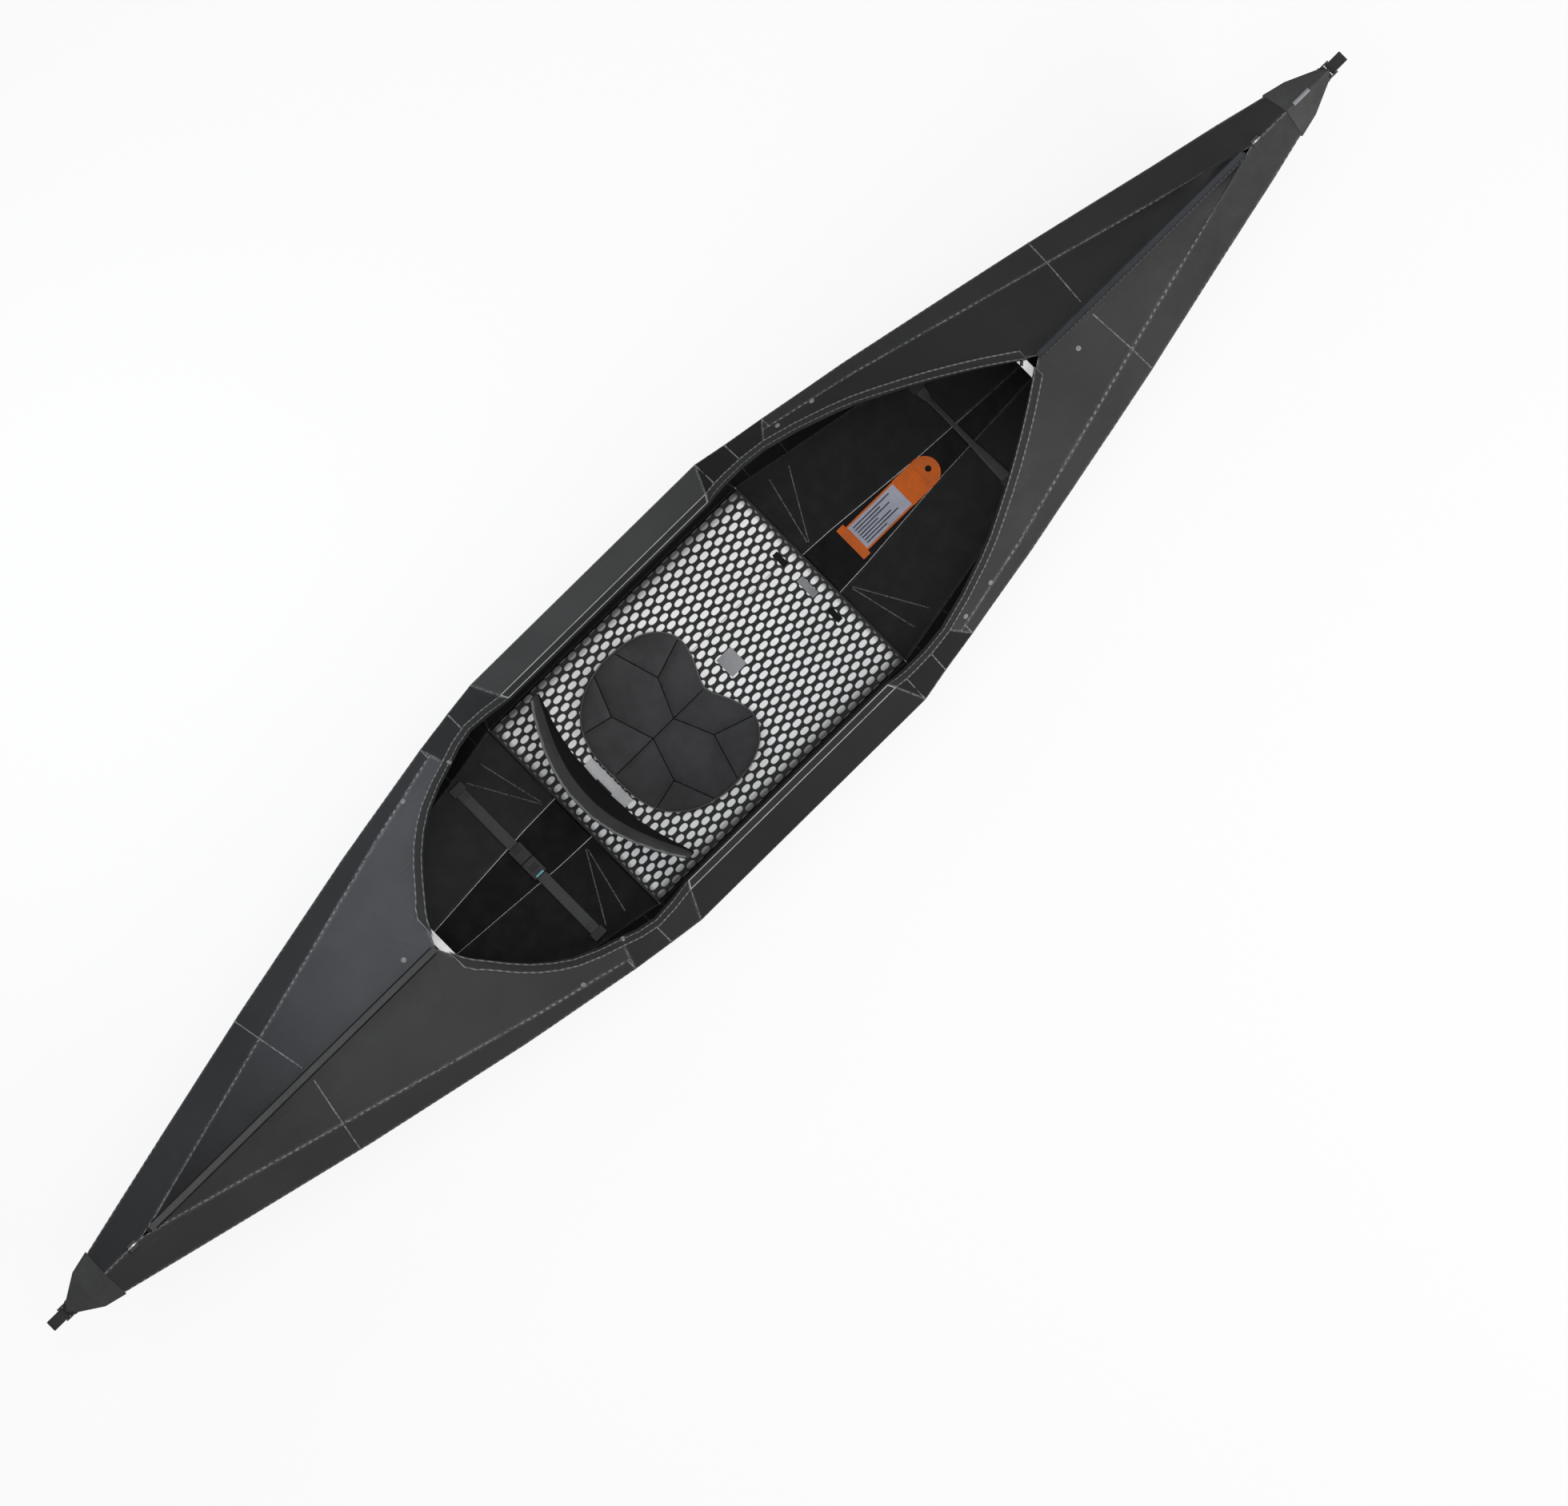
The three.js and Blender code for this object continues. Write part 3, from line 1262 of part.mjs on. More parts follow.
function holderGeometry() {
  const { footWidth, neckWidth, headWidth, holeRadius, holeInset, segments } = tag;
  const headRadius = headWidth / 2;
  const shape = new THREE.Shape();
  shape.moveTo(tag.startX, -footWidth / 2);
  shape.lineTo(cardStartX, -footWidth / 2);
  shape.lineTo(cardStartX, -neckWidth / 2);
  shape.lineTo(headStartX, -neckWidth / 2);
  shape.lineTo(headStartX, -headWidth / 2);
  shape.lineTo(headEndX - headRadius, -headWidth / 2);
  shape.absarc(headEndX - headRadius, 0, headRadius, -Math.PI / 2, Math.PI / 2, false);
  shape.lineTo(headStartX, headWidth / 2);
  shape.lineTo(headStartX, neckWidth / 2);
  shape.lineTo(cardStartX, neckWidth / 2);
  shape.lineTo(cardStartX, footWidth / 2);
  shape.lineTo(tag.startX, footWidth / 2);
  const hole = new THREE.Path();
  hole.absarc(headEndX - holeInset, 0, holeRadius, 0, 2 * Math.PI, true);
  shape.holes.push(hole);
  const options = { depth: tag.thickness, bevelEnabled: false, curveSegments: segments };
  const plate = new THREE.ExtrudeGeometry(shape, options).translate(0, 0, tagBottom);
  const ridgeX = headEndX - tag.ridgeInset;
  const ridge = box(ridgeX - tag.ridgeWidth, ridgeX, -tag.ridgeLength / 2, tag.ridgeLength / 2,
    tagBottom + tag.thickness / 2, tagTop + tag.ridgeHeight);
  return geometryOf(solidOf(plate).add(solidOf(ridge)));
}
addPiece("tag_holder", holderGeometry(), materials.orange);
const labelHalf = tag.cardWidth / 2 - tag.labelInset;
addPiece(
  "tag_label",
  box(cardStartX + tag.labelInset, headStartX - tag.labelInset, -labelHalf, labelHalf,
    tagTop + seatGap, tagTop + seatGap + tag.labelThickness),
  materials.label,
);

export default kayak;
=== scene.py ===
import json
import math

import bmesh
import bpy
from mathutils import Matrix, Vector
from mathutils.bvhtree import BVHTree


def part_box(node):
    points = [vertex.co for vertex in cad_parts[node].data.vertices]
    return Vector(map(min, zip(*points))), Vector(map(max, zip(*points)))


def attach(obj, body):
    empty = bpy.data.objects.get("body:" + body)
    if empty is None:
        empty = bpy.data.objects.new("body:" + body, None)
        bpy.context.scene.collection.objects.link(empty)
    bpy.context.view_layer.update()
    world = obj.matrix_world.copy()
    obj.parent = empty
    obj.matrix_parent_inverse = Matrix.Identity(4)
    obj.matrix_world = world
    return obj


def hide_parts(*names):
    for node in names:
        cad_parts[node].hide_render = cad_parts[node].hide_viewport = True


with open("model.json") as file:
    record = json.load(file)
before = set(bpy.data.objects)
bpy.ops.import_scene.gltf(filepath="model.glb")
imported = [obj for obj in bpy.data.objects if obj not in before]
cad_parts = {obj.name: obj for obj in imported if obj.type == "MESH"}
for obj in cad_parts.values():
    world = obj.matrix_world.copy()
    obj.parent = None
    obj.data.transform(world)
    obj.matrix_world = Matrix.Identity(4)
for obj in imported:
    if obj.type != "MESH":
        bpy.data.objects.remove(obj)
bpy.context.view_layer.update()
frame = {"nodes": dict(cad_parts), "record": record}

NODES = frame["nodes"]

BEHAVIOUR = frame["record"]["behaviour"]
BODY_OF = {node: body for body, members in BEHAVIOUR["bodies"].items() for node in members}
SLOT_OF = {part["node"]: part["material_slot"] for part in frame["record"]["subparts"]}
PIN_OF = {joint["child"]: joint["pos_m"] for joint in BEHAVIOUR["joints"] if joint["type"] == "hinge"}

ENDS = (("bow", 1), ("stern", -1))
SIDES = (("port", 1), ("starboard", -1))
UP = Vector((0, 0, 1))
DOWN = Vector((0, 0, -1))


def add_object(name, data):
    obj = bpy.data.objects.new(name, data)
    bpy.context.scene.collection.objects.link(obj)
    return obj


def middle_of(node):
    low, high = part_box(node)
    return (Vector(low) + Vector(high)) / 2


# Camera: far above the kayak, less than two degrees off the vertical, bow to the upper right
VIEW_TURNS = (("Y", -1.86), ("X", 0.641), ("Z", -44.565))
VIEW_TARGET = Vector((0.0386, -0.2203, 0.22))
VIEW_DISTANCE = 20.0
SENSOR_WIDTH = 36.0
PHOTO_WIDTH = 1960.0
FOCAL_PIXELS = 11799.6


def make_camera():
    data = bpy.data.cameras.new("camera")
    data.sensor_width = SENSOR_WIDTH
    data.lens = SENSOR_WIDTH * FOCAL_PIXELS / PHOTO_WIDTH
    camera = add_object("camera", data)
    turn = Matrix.Identity(3)
    for axis, degrees in VIEW_TURNS:
        turn = turn @ Matrix.Rotation(math.radians(degrees), 3, axis)
    camera.location = VIEW_TARGET + turn @ Vector((0.0, 0.0, VIEW_DISTANCE))
    camera.rotation_euler = turn.to_euler()
    bpy.context.scene.camera = camera


make_camera()


# Materials
class Wiring:
    """A tree of shader nodes and short ways to wire them."""

    def __init__(self, tree):
        self.tree = tree

    def node(self, kind, **values):
        node = self.tree.nodes.new("ShaderNode" + kind)
        for name, value in values.items():
            setattr(node, name, value)
        return node

    def feed(self, socket, value):
        if isinstance(value, (int, float)):
            socket.default_value = value
        elif isinstance(value, (tuple, list)):
            short = len(value) < len(socket.default_value)
            socket.default_value = (*value, 1.0) if short else value
        else:
            self.tree.links.new(value, socket)

    def fed(self, kind, inputs, **values):
        """A node with a value or a link for each input named."""
        node = self.node(kind, **values)
        for name, value in inputs.items():
            self.feed(node.inputs[name], value)
        return node

    def math(self, operation, a, b=0.0):
        return self.fed("Math", {0: a, 1: b}, operation=operation).outputs[0]

    def times(self, a, b):
        return self.math("MULTIPLY", a, b)


class Shader(Wiring):
    """A principled material with its place and UV coordinates."""

    def __init__(self, name, roughness, specular=0.12):
        self.material = bpy.data.materials.new(name)
        self.material.use_nodes = True
        super().__init__(self.material.node_tree)
        self.bsdf = self.tree.nodes["Principled BSDF"]
        self.bsdf.inputs["Roughness"].default_value = roughness
        self.bsdf.inputs["Specular IOR Level"].default_value = specular
        coordinate = self.node("TexCoord")
        self.place = coordinate.outputs["Object"]
        self.uv = coordinate.outputs["UV"]

    def noise(self, scale, detail=3.0, roughness=0.5, coords=None):
        inputs = {"Vector": coords or self.place, "Scale": scale, "Detail": detail, "Roughness": roughness}
        return self.fed("TexNoise", inputs).outputs["Fac"]

    def stretched(self, scale):
        return self.fed("Mapping", {"Vector": self.place, "Scale": scale}).outputs["Vector"]

    def waves(self, value, per_metre):
        """A sine along a value in metres."""
        return self.math("SINE", self.times(value, 2.0 * math.pi * per_metre))

    def away_from(self, value, centre):
        return self.math("ABSOLUTE", self.math("SUBTRACT", value, centre))

    def axes(self, coords=None):
        return self.fed("SeparateXYZ", {0: coords or self.place}).outputs

    def span(self, value, low, high, to_low=0.0, to_high=1.0):
        inputs = {"Value": value, "From Min": low, "From Max": high, "To Min": to_low, "To Max": to_high}
        return self.fed("MapRange", inputs).outputs["Result"]

    def mix(self, share, a, b):
        return self.fed("Mix", {"Factor": share, "A": a, "B": b}, data_type="RGBA").outputs["Result"]

    def attribute(self, name):
        return self.node("Attribute", attribute_name=name).outputs["Fac"]

    def colour(self, value):
        self.feed(self.bsdf.inputs["Base Color"], value)

    def rough(self, value):
        self.feed(self.bsdf.inputs["Roughness"], value)

    def bump(self, height, strength, distance, before=None):
        inputs = {"Strength": strength, "Distance": distance, "Height": height}
        if before is not None:
            inputs["Normal"] = before
        normal = self.fed("Bump", inputs).outputs[0]
        self.feed(self.bsdf.inputs["Normal"], normal)
        return normal


GREY = (1.0, 1.0, 1.0)


def tone(value, tint=GREY):
    """A linear colour from an sRGB level of 0 to 255 and a tint."""
    level = [min(1.0, value * share / 255.0) for share in tint]
    return tuple(v / 12.92 if v <= 0.04045 else ((v + 0.055) / 1.055) ** 2.4 for v in level)


def worn_and_shaded_skin(name, level, tint, painted_end_shade, specular):
    """Worn black sheet with fine flutes, at a level that carries painted light and shade. The painted end
    shade darkens it towards the kayak's ends.
    """
    shader = Shader(name, 0.6, specular)
    cloudy = shader.noise(2.6, 3.0, 0.6)
    speckle = shader.noise(900.0, 2.0, 0.6)
    streak = shader.noise(1.0, 4.0, 0.65, shader.stretched((9.0, 160.0, 90.0)))
    dark = tone(level * 0.9, tint)
    light = tone(level * 1.12, tint)
    base = shader.mix(shader.span(cloudy, 0.35, 0.68), dark, light)
    base = shader.mix(shader.span(speckle, 0.3, 0.75, 0.0, 0.35), base, tone(level * 1.3, tint))
    scratch = shader.span(streak, 0.66, 0.78, 0.0, 0.28)
    base = shader.mix(scratch, base, tone(level * 1.9, tint))
    scuffs = shader.span(shader.noise(70.0, 4.0, 0.7), 0.35, 0.75)
    wear = shader.times(shader.attribute("wear"), scuffs)
    base = shader.mix(shader.times(wear, 0.5), base, tone(level * 2.2, tint))
    # Painted shade: darker towards the kayak's ends
    if painted_end_shade:
        outwards = shader.span(shader.math("ABSOLUTE", shader.axes()["X"]), 0.8, 1.5, 0.0, painted_end_shade)
        base = shader.mix(outwards, base, tone(level * 0.3, tint))
    shader.colour(base)
    shader.rough(shader.span(shader.noise(30.0, 4.0, 0.6), 0.3, 0.7, 0.46, 0.62))
    inputs = {"Vector": shader.place, "Scale": 62.0, "Distortion": 0.4}
    flutes = shader.fed("TexWave", inputs, wave_type="BANDS", bands_direction="Y")
    first = shader.bump(flutes.outputs["Fac"], 0.07, 0.0006)
    second = shader.bump(shader.noise(260.0, 3.0, 0.6), 0.12, 0.0008, first)
    shader.bump(shader.noise(5.0, 2.0, 0.5), 0.25, 0.006, second)
    return shader.material


def crease(name, level, period=None, low=0.42):
    """Whitened plastic, in dashes along the kayak where a period in metres is given."""
    shader = Shader(name, 0.7)
    share = shader.span(shader.noise(150.0, 4.0, 0.7), 0.38, 0.66)
    if period:
        phase = shader.math("FRACT", shader.times(shader.axes()["X"], 1.0 / period))
        dash = shader.span(shader.away_from(phase, 0.5), 0.2, 0.3, 1.0, 0.12)
        share = shader.times(dash, shader.span(share, 0.0, 1.0, 0.6, 1.0))
    shader.colour(shader.mix(share, tone(level * low), tone(level)))
    shader.bump(shader.noise(420.0, 3.0, 0.6), 0.3, 0.0006)
    return shader.material


def plastic(name, level, tint, roughness, grain, grain_scale=700.0):
    shader = Shader(name, roughness)
    cloudy = shader.noise(14.0, 4.0, 0.6)
    speckle = shader.noise(grain_scale, 2.0, 0.6)
    base = shader.mix(shader.span(cloudy, 0.3, 0.7), tone(level * 0.88, tint), tone(level * 1.1, tint))
    base = shader.mix(shader.span(speckle, 0.45, 0.8, 0.0, 0.4), base, tone(min(250.0, level * 1.45), tint))
    shader.colour(base)
    shader.rough(shader.span(cloudy, 0.3, 0.7, max(0.1, roughness - 0.08), roughness + 0.08))
    shader.bump(speckle, grain, 0.0007)
    return shader.material


def webbing(name, level):
    shader = Shader(name, 0.85)
    place = shader.axes(shader.uv)
    weave = shader.times(shader.waves(place["X"], 420.0), shader.waves(place["Y"], 520.0))
    high = shader.span(weave, -1.0, 1.0)
    fuzz = shader.noise(1500.0, 2.0, 0.7)
    base = shader.mix(high, tone(level * 0.62), tone(level * 1.3))
    base = shader.mix(shader.span(fuzz, 0.4, 0.8, 0.0, 0.4), base, tone(level * 1.7))
    shader.colour(base)
    shader.bsdf.inputs["Sheen Weight"].default_value = 0.15
    shader.bump(high, 0.6, 0.0008)
    return shader.material


def fabric(name, level, tint, specular=0.12, sheen=0.12):
    shader = Shader(name, 0.9, specular)
    x, y, z = shader.axes()
    threads = 900.0
    warp = shader.waves(shader.math("ADD", x, z), threads)
    weft = shader.waves(y, threads)
    weave = shader.span(shader.times(warp, weft), -1.0, 1.0)
    cloudy = shader.noise(16.0, 4.0, 0.6)
    base = shader.mix(shader.span(cloudy, 0.3, 0.7), tone(level * 0.86, tint), tone(level * 1.12, tint))
    base = shader.mix(shader.times(weave, 0.35), base, tone(level * 1.4, tint))
    shader.colour(base)
    shader.bsdf.inputs["Sheen Weight"].default_value = sheen
    first = shader.bump(weave, 0.35, 0.0005)
    shader.bump(shader.noise(45.0, 4.0, 0.6), 0.25, 0.003, first)
    return shader.material


def floor_lattice():
    """Black sheet with a staggered lattice of pale raised ovals."""
    shader = Shader("floor_lattice", 0.5)
    x, y, _ = shader.axes()
    half_length, half_width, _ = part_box("floorboard")[1]
    roundness = 2.4
    fold_place = 0.076
    wobble = shader.times(shader.math("SUBTRACT", shader.noise(60.0, 3.0, 0.6), 0.5), 0.6)

    def across_oval(axis, pitch, half, shift):
        """Distance from the middle of the nearest oval, as a share of the oval's half size."""
        cell = shader.math("FRACT", shader.math("ADD", shader.math("DIVIDE", axis, pitch), 100.0 + shift))
        away = shader.times(shader.away_from(cell, 0.5), pitch / half)
        return shader.math("POWER", away, roundness)

    ovals = 0.0
    for shift in (0.0, 0.5):
        round_x = across_oval(x, 0.044, 0.0104, shift)
        round_y = across_oval(y, 0.0226, 0.0063, shift)
        distance = shader.math("ADD", shader.math("ADD", round_x, round_y), wobble)
        ovals = shader.math("MAXIMUM", ovals, shader.span(distance, 0.85, 1.2, 1.0, 0.0))
    cloudy = shader.noise(7.0, 4.0, 0.6)
    pale = shader.mix(shader.span(cloudy, 0.3, 0.7), tone(240), tone(254))
    dark = shader.mix(shader.noise(40.0), tone(20), tone(30))
    to_end = shader.math("SUBTRACT", half_length, shader.math("ABSOLUTE", x))
    to_side = shader.math("SUBTRACT", half_width, shader.math("ABSOLUTE", y))
    inside = shader.times(shader.span(to_end, 0.005, 0.021), shader.span(to_side, 0.0065, 0.0285, 0.12, 1.0))
    share = shader.times(ovals, inside)
    # Painted shade: the pale ovals dim towards the board's rear port corner
    painted_shade_rear_port = shader.span(shader.math("SUBTRACT", y, x), 0.15, 0.55, 0.0, 0.16)
    pale = shader.mix(painted_shade_rear_port, pale, tone(120))
    base = shader.mix(share, dark, pale)
    fold = shader.span(shader.away_from(y, fold_place), 0.0007, 0.0016, 0.55, 0.0)
    shader.colour(shader.mix(fold, base, tone(70)))
    shader.rough(shader.span(share, 0.0, 1.0, 0.45, 0.6))
    first = shader.bump(share, 0.5, 0.001)
    shader.bump(shader.noise(300.0, 3.0, 0.6), 0.1, 0.0006, first)
    return shader.material


def by_node(pairs):
    """Values by node name, from a pair of values for port and starboard by panel name."""
    values = {}
    for panel, pair in pairs.items():
        for (side, _), value in zip(SIDES, pair):
            values[f"{panel}_{side}"] = value
    return values


# Grey levels of the skin's outer and inner faces, and how far a panel darkens towards its end, all painted
# light and shade: the panels of one sheet are lit and shaded copies
# Painted light and shade: each outer face is lighter or darker by how light falls on it, port against
# starboard
OUTER_PAINTED_LIGHT_LEVELS = by_node({
    "mid_shoulder": (53, 31),
    "bow_side_deck": (15, 24),
    "bow_outer_deck": (41, 48),
    "bow_inner_deck": (31, 49),
    "stern_side_deck": (32, 38),
    "stern_outer_deck": (39, 46),
    "stern_inner_deck": (66, 50),
})
# Painted shade: the inner faces are darker than the outer ones, standing in for the shade inside the hull
INSIDE_PAINTED_SHADE_LEVELS = by_node({"bow_bilge": (26, 28), "stern_bilge": (37, 20)})
INSIDE_PAINTED_SHADE_LEVELS.update({"bow_keel_strip": 13, "stern_keel_strip": 14})
OTHER_OUTER_LEVEL = 42
OTHER_INSIDE_SHADED_LEVEL = 19
# Painted shade: the stern inner decks darken towards the stern's end, the port one most
PAINTED_END_SHADES = by_node({"stern_inner_deck": (0.95, 0.3)})
made_skins = {}


def skin_of(level, tint, painted_end_shade=0.0, specular=0.12):
    """The skin material with these values. Panels with the same values share one."""
    key = (level, tint, painted_end_shade, specular)
    if key not in made_skins:
        name = f"skin_{level}_{int(100 * tint[2])}_{int(100 * painted_end_shade)}_{int(100 * specular)}"
        made_skins[key] = worn_and_shaded_skin(name, level, tint, painted_end_shade, specular)
    return made_skins[key]


# Materials by use
CREASE = crease("crease_whitened", 128)
CREASE_ACROSS = crease("crease_across", 142, low=0.5)
CREASE_DASHED = crease("crease_dashed", 134, 0.015)
CREASE_INSIDE = crease("crease_inside", 62)
CREASE_FLOOR = crease("crease_floor", 112, low=0.5)
RAIL = plastic("rail_plastic", 46, (0.95, 1.0, 1.08), 0.45, 0.1)
RAIL_LIGHT = plastic("rail_plastic_light", 62, GREY, 0.5, 0.1)
# Painted shadow for the gaps beside the stern rail
RAIL_PAINTED_SHADOW = plastic("rail_painted_gap_shadow", 18, (1.0, 1.0, 1.03), 0.5, 0.1)
RAIL_EDGE = crease("rail_edge", 100, 0.012, 0.6)
TRIM = plastic("trim_plastic", 38, GREY, 0.55, 0.2)
TRIM_EDGE = crease("trim_edge", 122, 0.012, 0.62)
# Painted highlight along the middle trims' light edges
TRIM_PAINTED_HIGHLIGHT = plastic("trim_painted_highlight", 148, (1.0, 1.0, 0.98), 0.5, 0.2)
CAP = plastic("cap_plastic", 68, GREY, 0.75, 0.9, 420.0)
CAP_STERN = plastic("cap_plastic_stern", 58, GREY, 0.75, 0.9, 420.0)
PALE = plastic("pale_plastic", 182, (1.0, 1.0, 1.01), 0.5, 0.15)
PLATE = plastic("plate_plastic", 222, (1.0, 1.0, 0.99), 0.5, 0.15)
BUCKLE = plastic("buckle_plastic", 36, (1.0, 1.0, 1.05), 0.42, 0.1)
ORANGE = plastic("orange_plastic", 196, (1.0, 0.47, 0.12), 0.5, 0.25)
LABEL = plastic("label_card", 160, (0.98, 0.99, 1.07), 0.6, 0.2)
PRINT = plastic("label_rules", 66, (0.98, 0.98, 1.08), 0.7, 0.2)
STRIP = plastic("white_strip", 235, (1.0, 1.0, 0.99), 0.5, 0.1)
RIVET = plastic("rivet_plastic", 124, GREY, 0.45, 0.1)
PATCH = plastic("grey_patch", 136, (1.0, 1.0, 1.02), 0.75, 0.5)
PIPING = plastic("piping", 92, GREY, 0.7, 0.3)
THREAD = plastic("dark_thread", 13, GREY, 0.9, 0.5)
TEAL = plastic("teal_thread", 170, (0.62, 0.98, 1.0), 0.6, 0.2)
WEB = webbing("webbing", 68)
WEB_DARK = webbing("webbing_dark", 44)
FABRIC = fabric("quilted_fabric", 56, (1.0, 1.0, 1.02))
FABRIC_DARK = fabric("backrest_front", 22, (1.0, 1.02, 1.05), 0.0, 0.01)
FABRIC_BAND = fabric("backrest_band", 56, GREY, 0.0, 0.01)
STEEL = plastic("wire_steel", 140, (1.0, 1.0, 1.02), 0.32, 0.08)
STEEL.node_tree.nodes["Principled BSDF"].inputs["Metallic"].default_value = 0.85
FLOOR_BOARD = floor_lattice()


# Meshes
def mesh_of(name, bm):
    mesh = bpy.data.meshes.new(name)
    bm.to_mesh(mesh)
    bm.free()
    return mesh


def from_bmesh(name, bm, materials, body, sharp):
    """A piece with its materials and body. Edges bent by more than the angle stay sharp."""
    mesh = mesh_of(name, bm)
    for polygon in mesh.polygons:
        polygon.use_smooth = True
    mesh.set_sharp_from_angle(angle=math.radians(sharp))
    for material in materials:
        mesh.materials.append(material)
    obj = add_object(name, mesh)
    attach(obj, body)
    return obj


def closed_piece(name, bm, material, body, sharp):
    """A piece of one material whose faces are turned outwards."""
    bmesh.ops.recalc_face_normals(bm, faces=bm.faces)
    return from_bmesh(name, bm, [material], body, sharp)


def node_bmesh(node):
    """The solid of a CAD node with its corners joined."""
    bm = bmesh.new()
    bm.from_mesh(NODES[node].data)
    bmesh.ops.remove_doubles(bm, verts=bm.verts, dist=1e-6)
    for face in bm.faces:
        face.material_index = 0
    bm.normal_update()
    return bm


def bisect(bm, place, normal, **options):
    geometry = bm.verts[:] + bm.edges[:] + bm.faces[:]
    return bmesh.ops.bisect_plane(bm, geom=geometry, plane_co=place, plane_no=normal, **options)


def regions(faces, angle):
    """Lists of faces that meet each other at less than an angle, largest first."""
    left = dict.fromkeys(faces)
    found = []
    while left:
        start, _ = left.popitem()
        group, stack = [start], [start]
        while stack:
            face = stack.pop()
            for edge in face.edges:
                if len(edge.link_faces) != 2 or edge.calc_face_angle(0.0) > angle:
                    continue
                for other in edge.link_faces:
                    if other in left:
                        del left[other]
                        group.append(other)
                        stack.append(other)
        found.append(group)
    return sorted(found, key=lambda group: -sum(face.calc_area() for face in group))


# Panels of the skin
PANELS = [node for node, slot in SLOT_OF.items() if slot == "skin"]
BROAD_ANGLE = math.radians(38.0)
CREASE_OUTSIDE_WIDTH, CREASE_INSIDE_WIDTH = 0.0019, 0.0013
CREASE_DEPTH = 0.0005
WORN_BAND = 0.006
HULL_MIDDLE_HEIGHT = 0.15
DASHED_PANELS = ("outer_deck", "inner_deck", "bow_side_port", "bow_side_starboard",
                 "stern_side_port", "stern_side_starboard")


def faces_out(group):
    """Whether a broad face looks away from the inside of the hull."""
    total = 0.0
    for face in group:
        middle = face.calc_center_median()
        away = Vector((0.0, middle.y, middle.z - HULL_MIDDLE_HEIGHT))
        total += face.calc_area() * face.normal.dot(away)
    return total > 0


def rim_of(group):
    members = set(group)
    return {vert for face in group for edge in face.edges for vert in edge.verts
            if sum(other in members for other in edge.link_faces) == 1}


def inset(bm, group, width):
    made = bmesh.ops.inset_region(bm, faces=group, thickness=width, use_even_offset=False, use_boundary=True)
    return made["faces"]


def runs_along(face, rim):
    """Whether a face's longest edge on the rim runs along the kayak."""
    edges = [edge for edge in face.edges if edge.verts[0] in rim and edge.verts[1] in rim]
    longest = max(edges, key=lambda edge: edge.calc_length(), default=None)
    if longest is None:
        return False
    run = longest.verts[1].co - longest.verts[0].co
    return abs(run.x) > 0.8 * run.length


def dress_panel(node, outer, inside):
    """The panel's own solid, with a worn band and a scored, whitened line round each broad face."""
    bm = node_bmesh(node)
    wear = bm.verts.layers.float.new("wear")
    materials = [outer, CREASE, CREASE_DASHED, inside, CREASE_INSIDE]
    dashed_panel = any(word in node for word in DASHED_PANELS)
    for group in regions(bm.faces, BROAD_ANGLE)[:2]:
        out = faces_out(group)
        rim = rim_of(group)
        face_material, line_material = (outer, CREASE) if out else (inside, CREASE_INSIDE)
        lines = inset(bm, group, CREASE_OUTSIDE_WIDTH if out else CREASE_INSIDE_WIDTH)
        for face in lines:
            dashed = out and dashed_panel and runs_along(face, rim)
            face.material_index = materials.index(CREASE_DASHED if dashed else line_material)
        for face in group + inset(bm, group, WORN_BAND):
            face.material_index = materials.index(face_material)
        for vert in {vert for face in lines for vert in face.verts}:
            vert[wear] = 1.0
        for vert in rim:
            normal = sum((face.normal for face in vert.link_faces if face in lines), Vector())
            if normal.length > 0:
                vert.co -= normal.normalized() * CREASE_DEPTH
    obj = from_bmesh("skin_" + node, bm, materials, "hull", 24.0)
    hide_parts(node)


for node in PANELS:
    # Painted reflection: the stern port panels get a cool tint of reflected light
    painted_cool_tint = node.startswith("stern") and node.endswith("port")
    tint = (0.985, 0.99, 1.035) if painted_cool_tint else (1.0, 1.0, 0.995)
    outer = skin_of(OUTER_PAINTED_LIGHT_LEVELS.get(node, OTHER_OUTER_LEVEL), tint, PAINTED_END_SHADES.get(node, 0.0))
    inside = skin_of(INSIDE_PAINTED_SHADE_LEVELS.get(node, OTHER_INSIDE_SHADED_LEVEL), (0.99, 1.0, 1.01), 0.0, 0.05)
    dress_panel(node, outer, inside)


# Creases that cross a panel, as thin raised lines
def chains(edges):
    """Ordered lists of (point, normal) along the edges given."""
    left = dict.fromkeys(edges)
    lines = []
    while left:
        edge, _ = left.popitem()
        line = list(edge.verts)
        for end in (-1, 0):
            going = True
            while going:
                going = False
                for other in line[end].link_edges:
                    if other in left:
                        del left[other]
                        vert = other.other_vert(line[end])
                        line.insert(len(line) if end == -1 else 0, vert)
                        going = True
                        break
        lines.append([(vert.co.copy(), vert.normal.copy()) for vert in line])
    return lines


def cut_lines(node, out, point, normal, keep):
    """Where a plane crosses a panel's outer or inner broad face, at the places to keep."""
    bm = node_bmesh(node)
    group = next(group for group in regions(bm.faces, BROAD_ANGLE)[:2] if faces_out(group) == out)
    members = set(group)
    bmesh.ops.delete(bm, geom=[face for face in bm.faces if face not in members], context="FACES")
    bm.normal_update()
    cut = bisect(bm, point, normal)["geom_cut"]
    longest_step = 0.012
    found = []
    for line in chains([item for item in cut if isinstance(item, bmesh.types.BMEdge)]):
        fine = []
        for (a, na), (b, nb) in zip(line, line[1:]):
            steps = max(1, int((b - a).length / longest_step))
            fine += [(a.lerp(b, k / steps), na.lerp(nb, k / steps)) for k in range(steps)]
        fine.append(line[-1])
        part = [item for item in fine if keep(item[0])]
        if len(part) > 1:
            found.append(part)
    bm.free()
    return found


def neighbours(points, k, closed=False):
    """The points before and after one of a line's points. At an open end that is the point itself."""
    last = len(points) - 1
    if closed:
        return points[k - 1], points[0 if k == last else k + 1]
    return points[max(0, k - 1)], points[min(last, k + 1)]


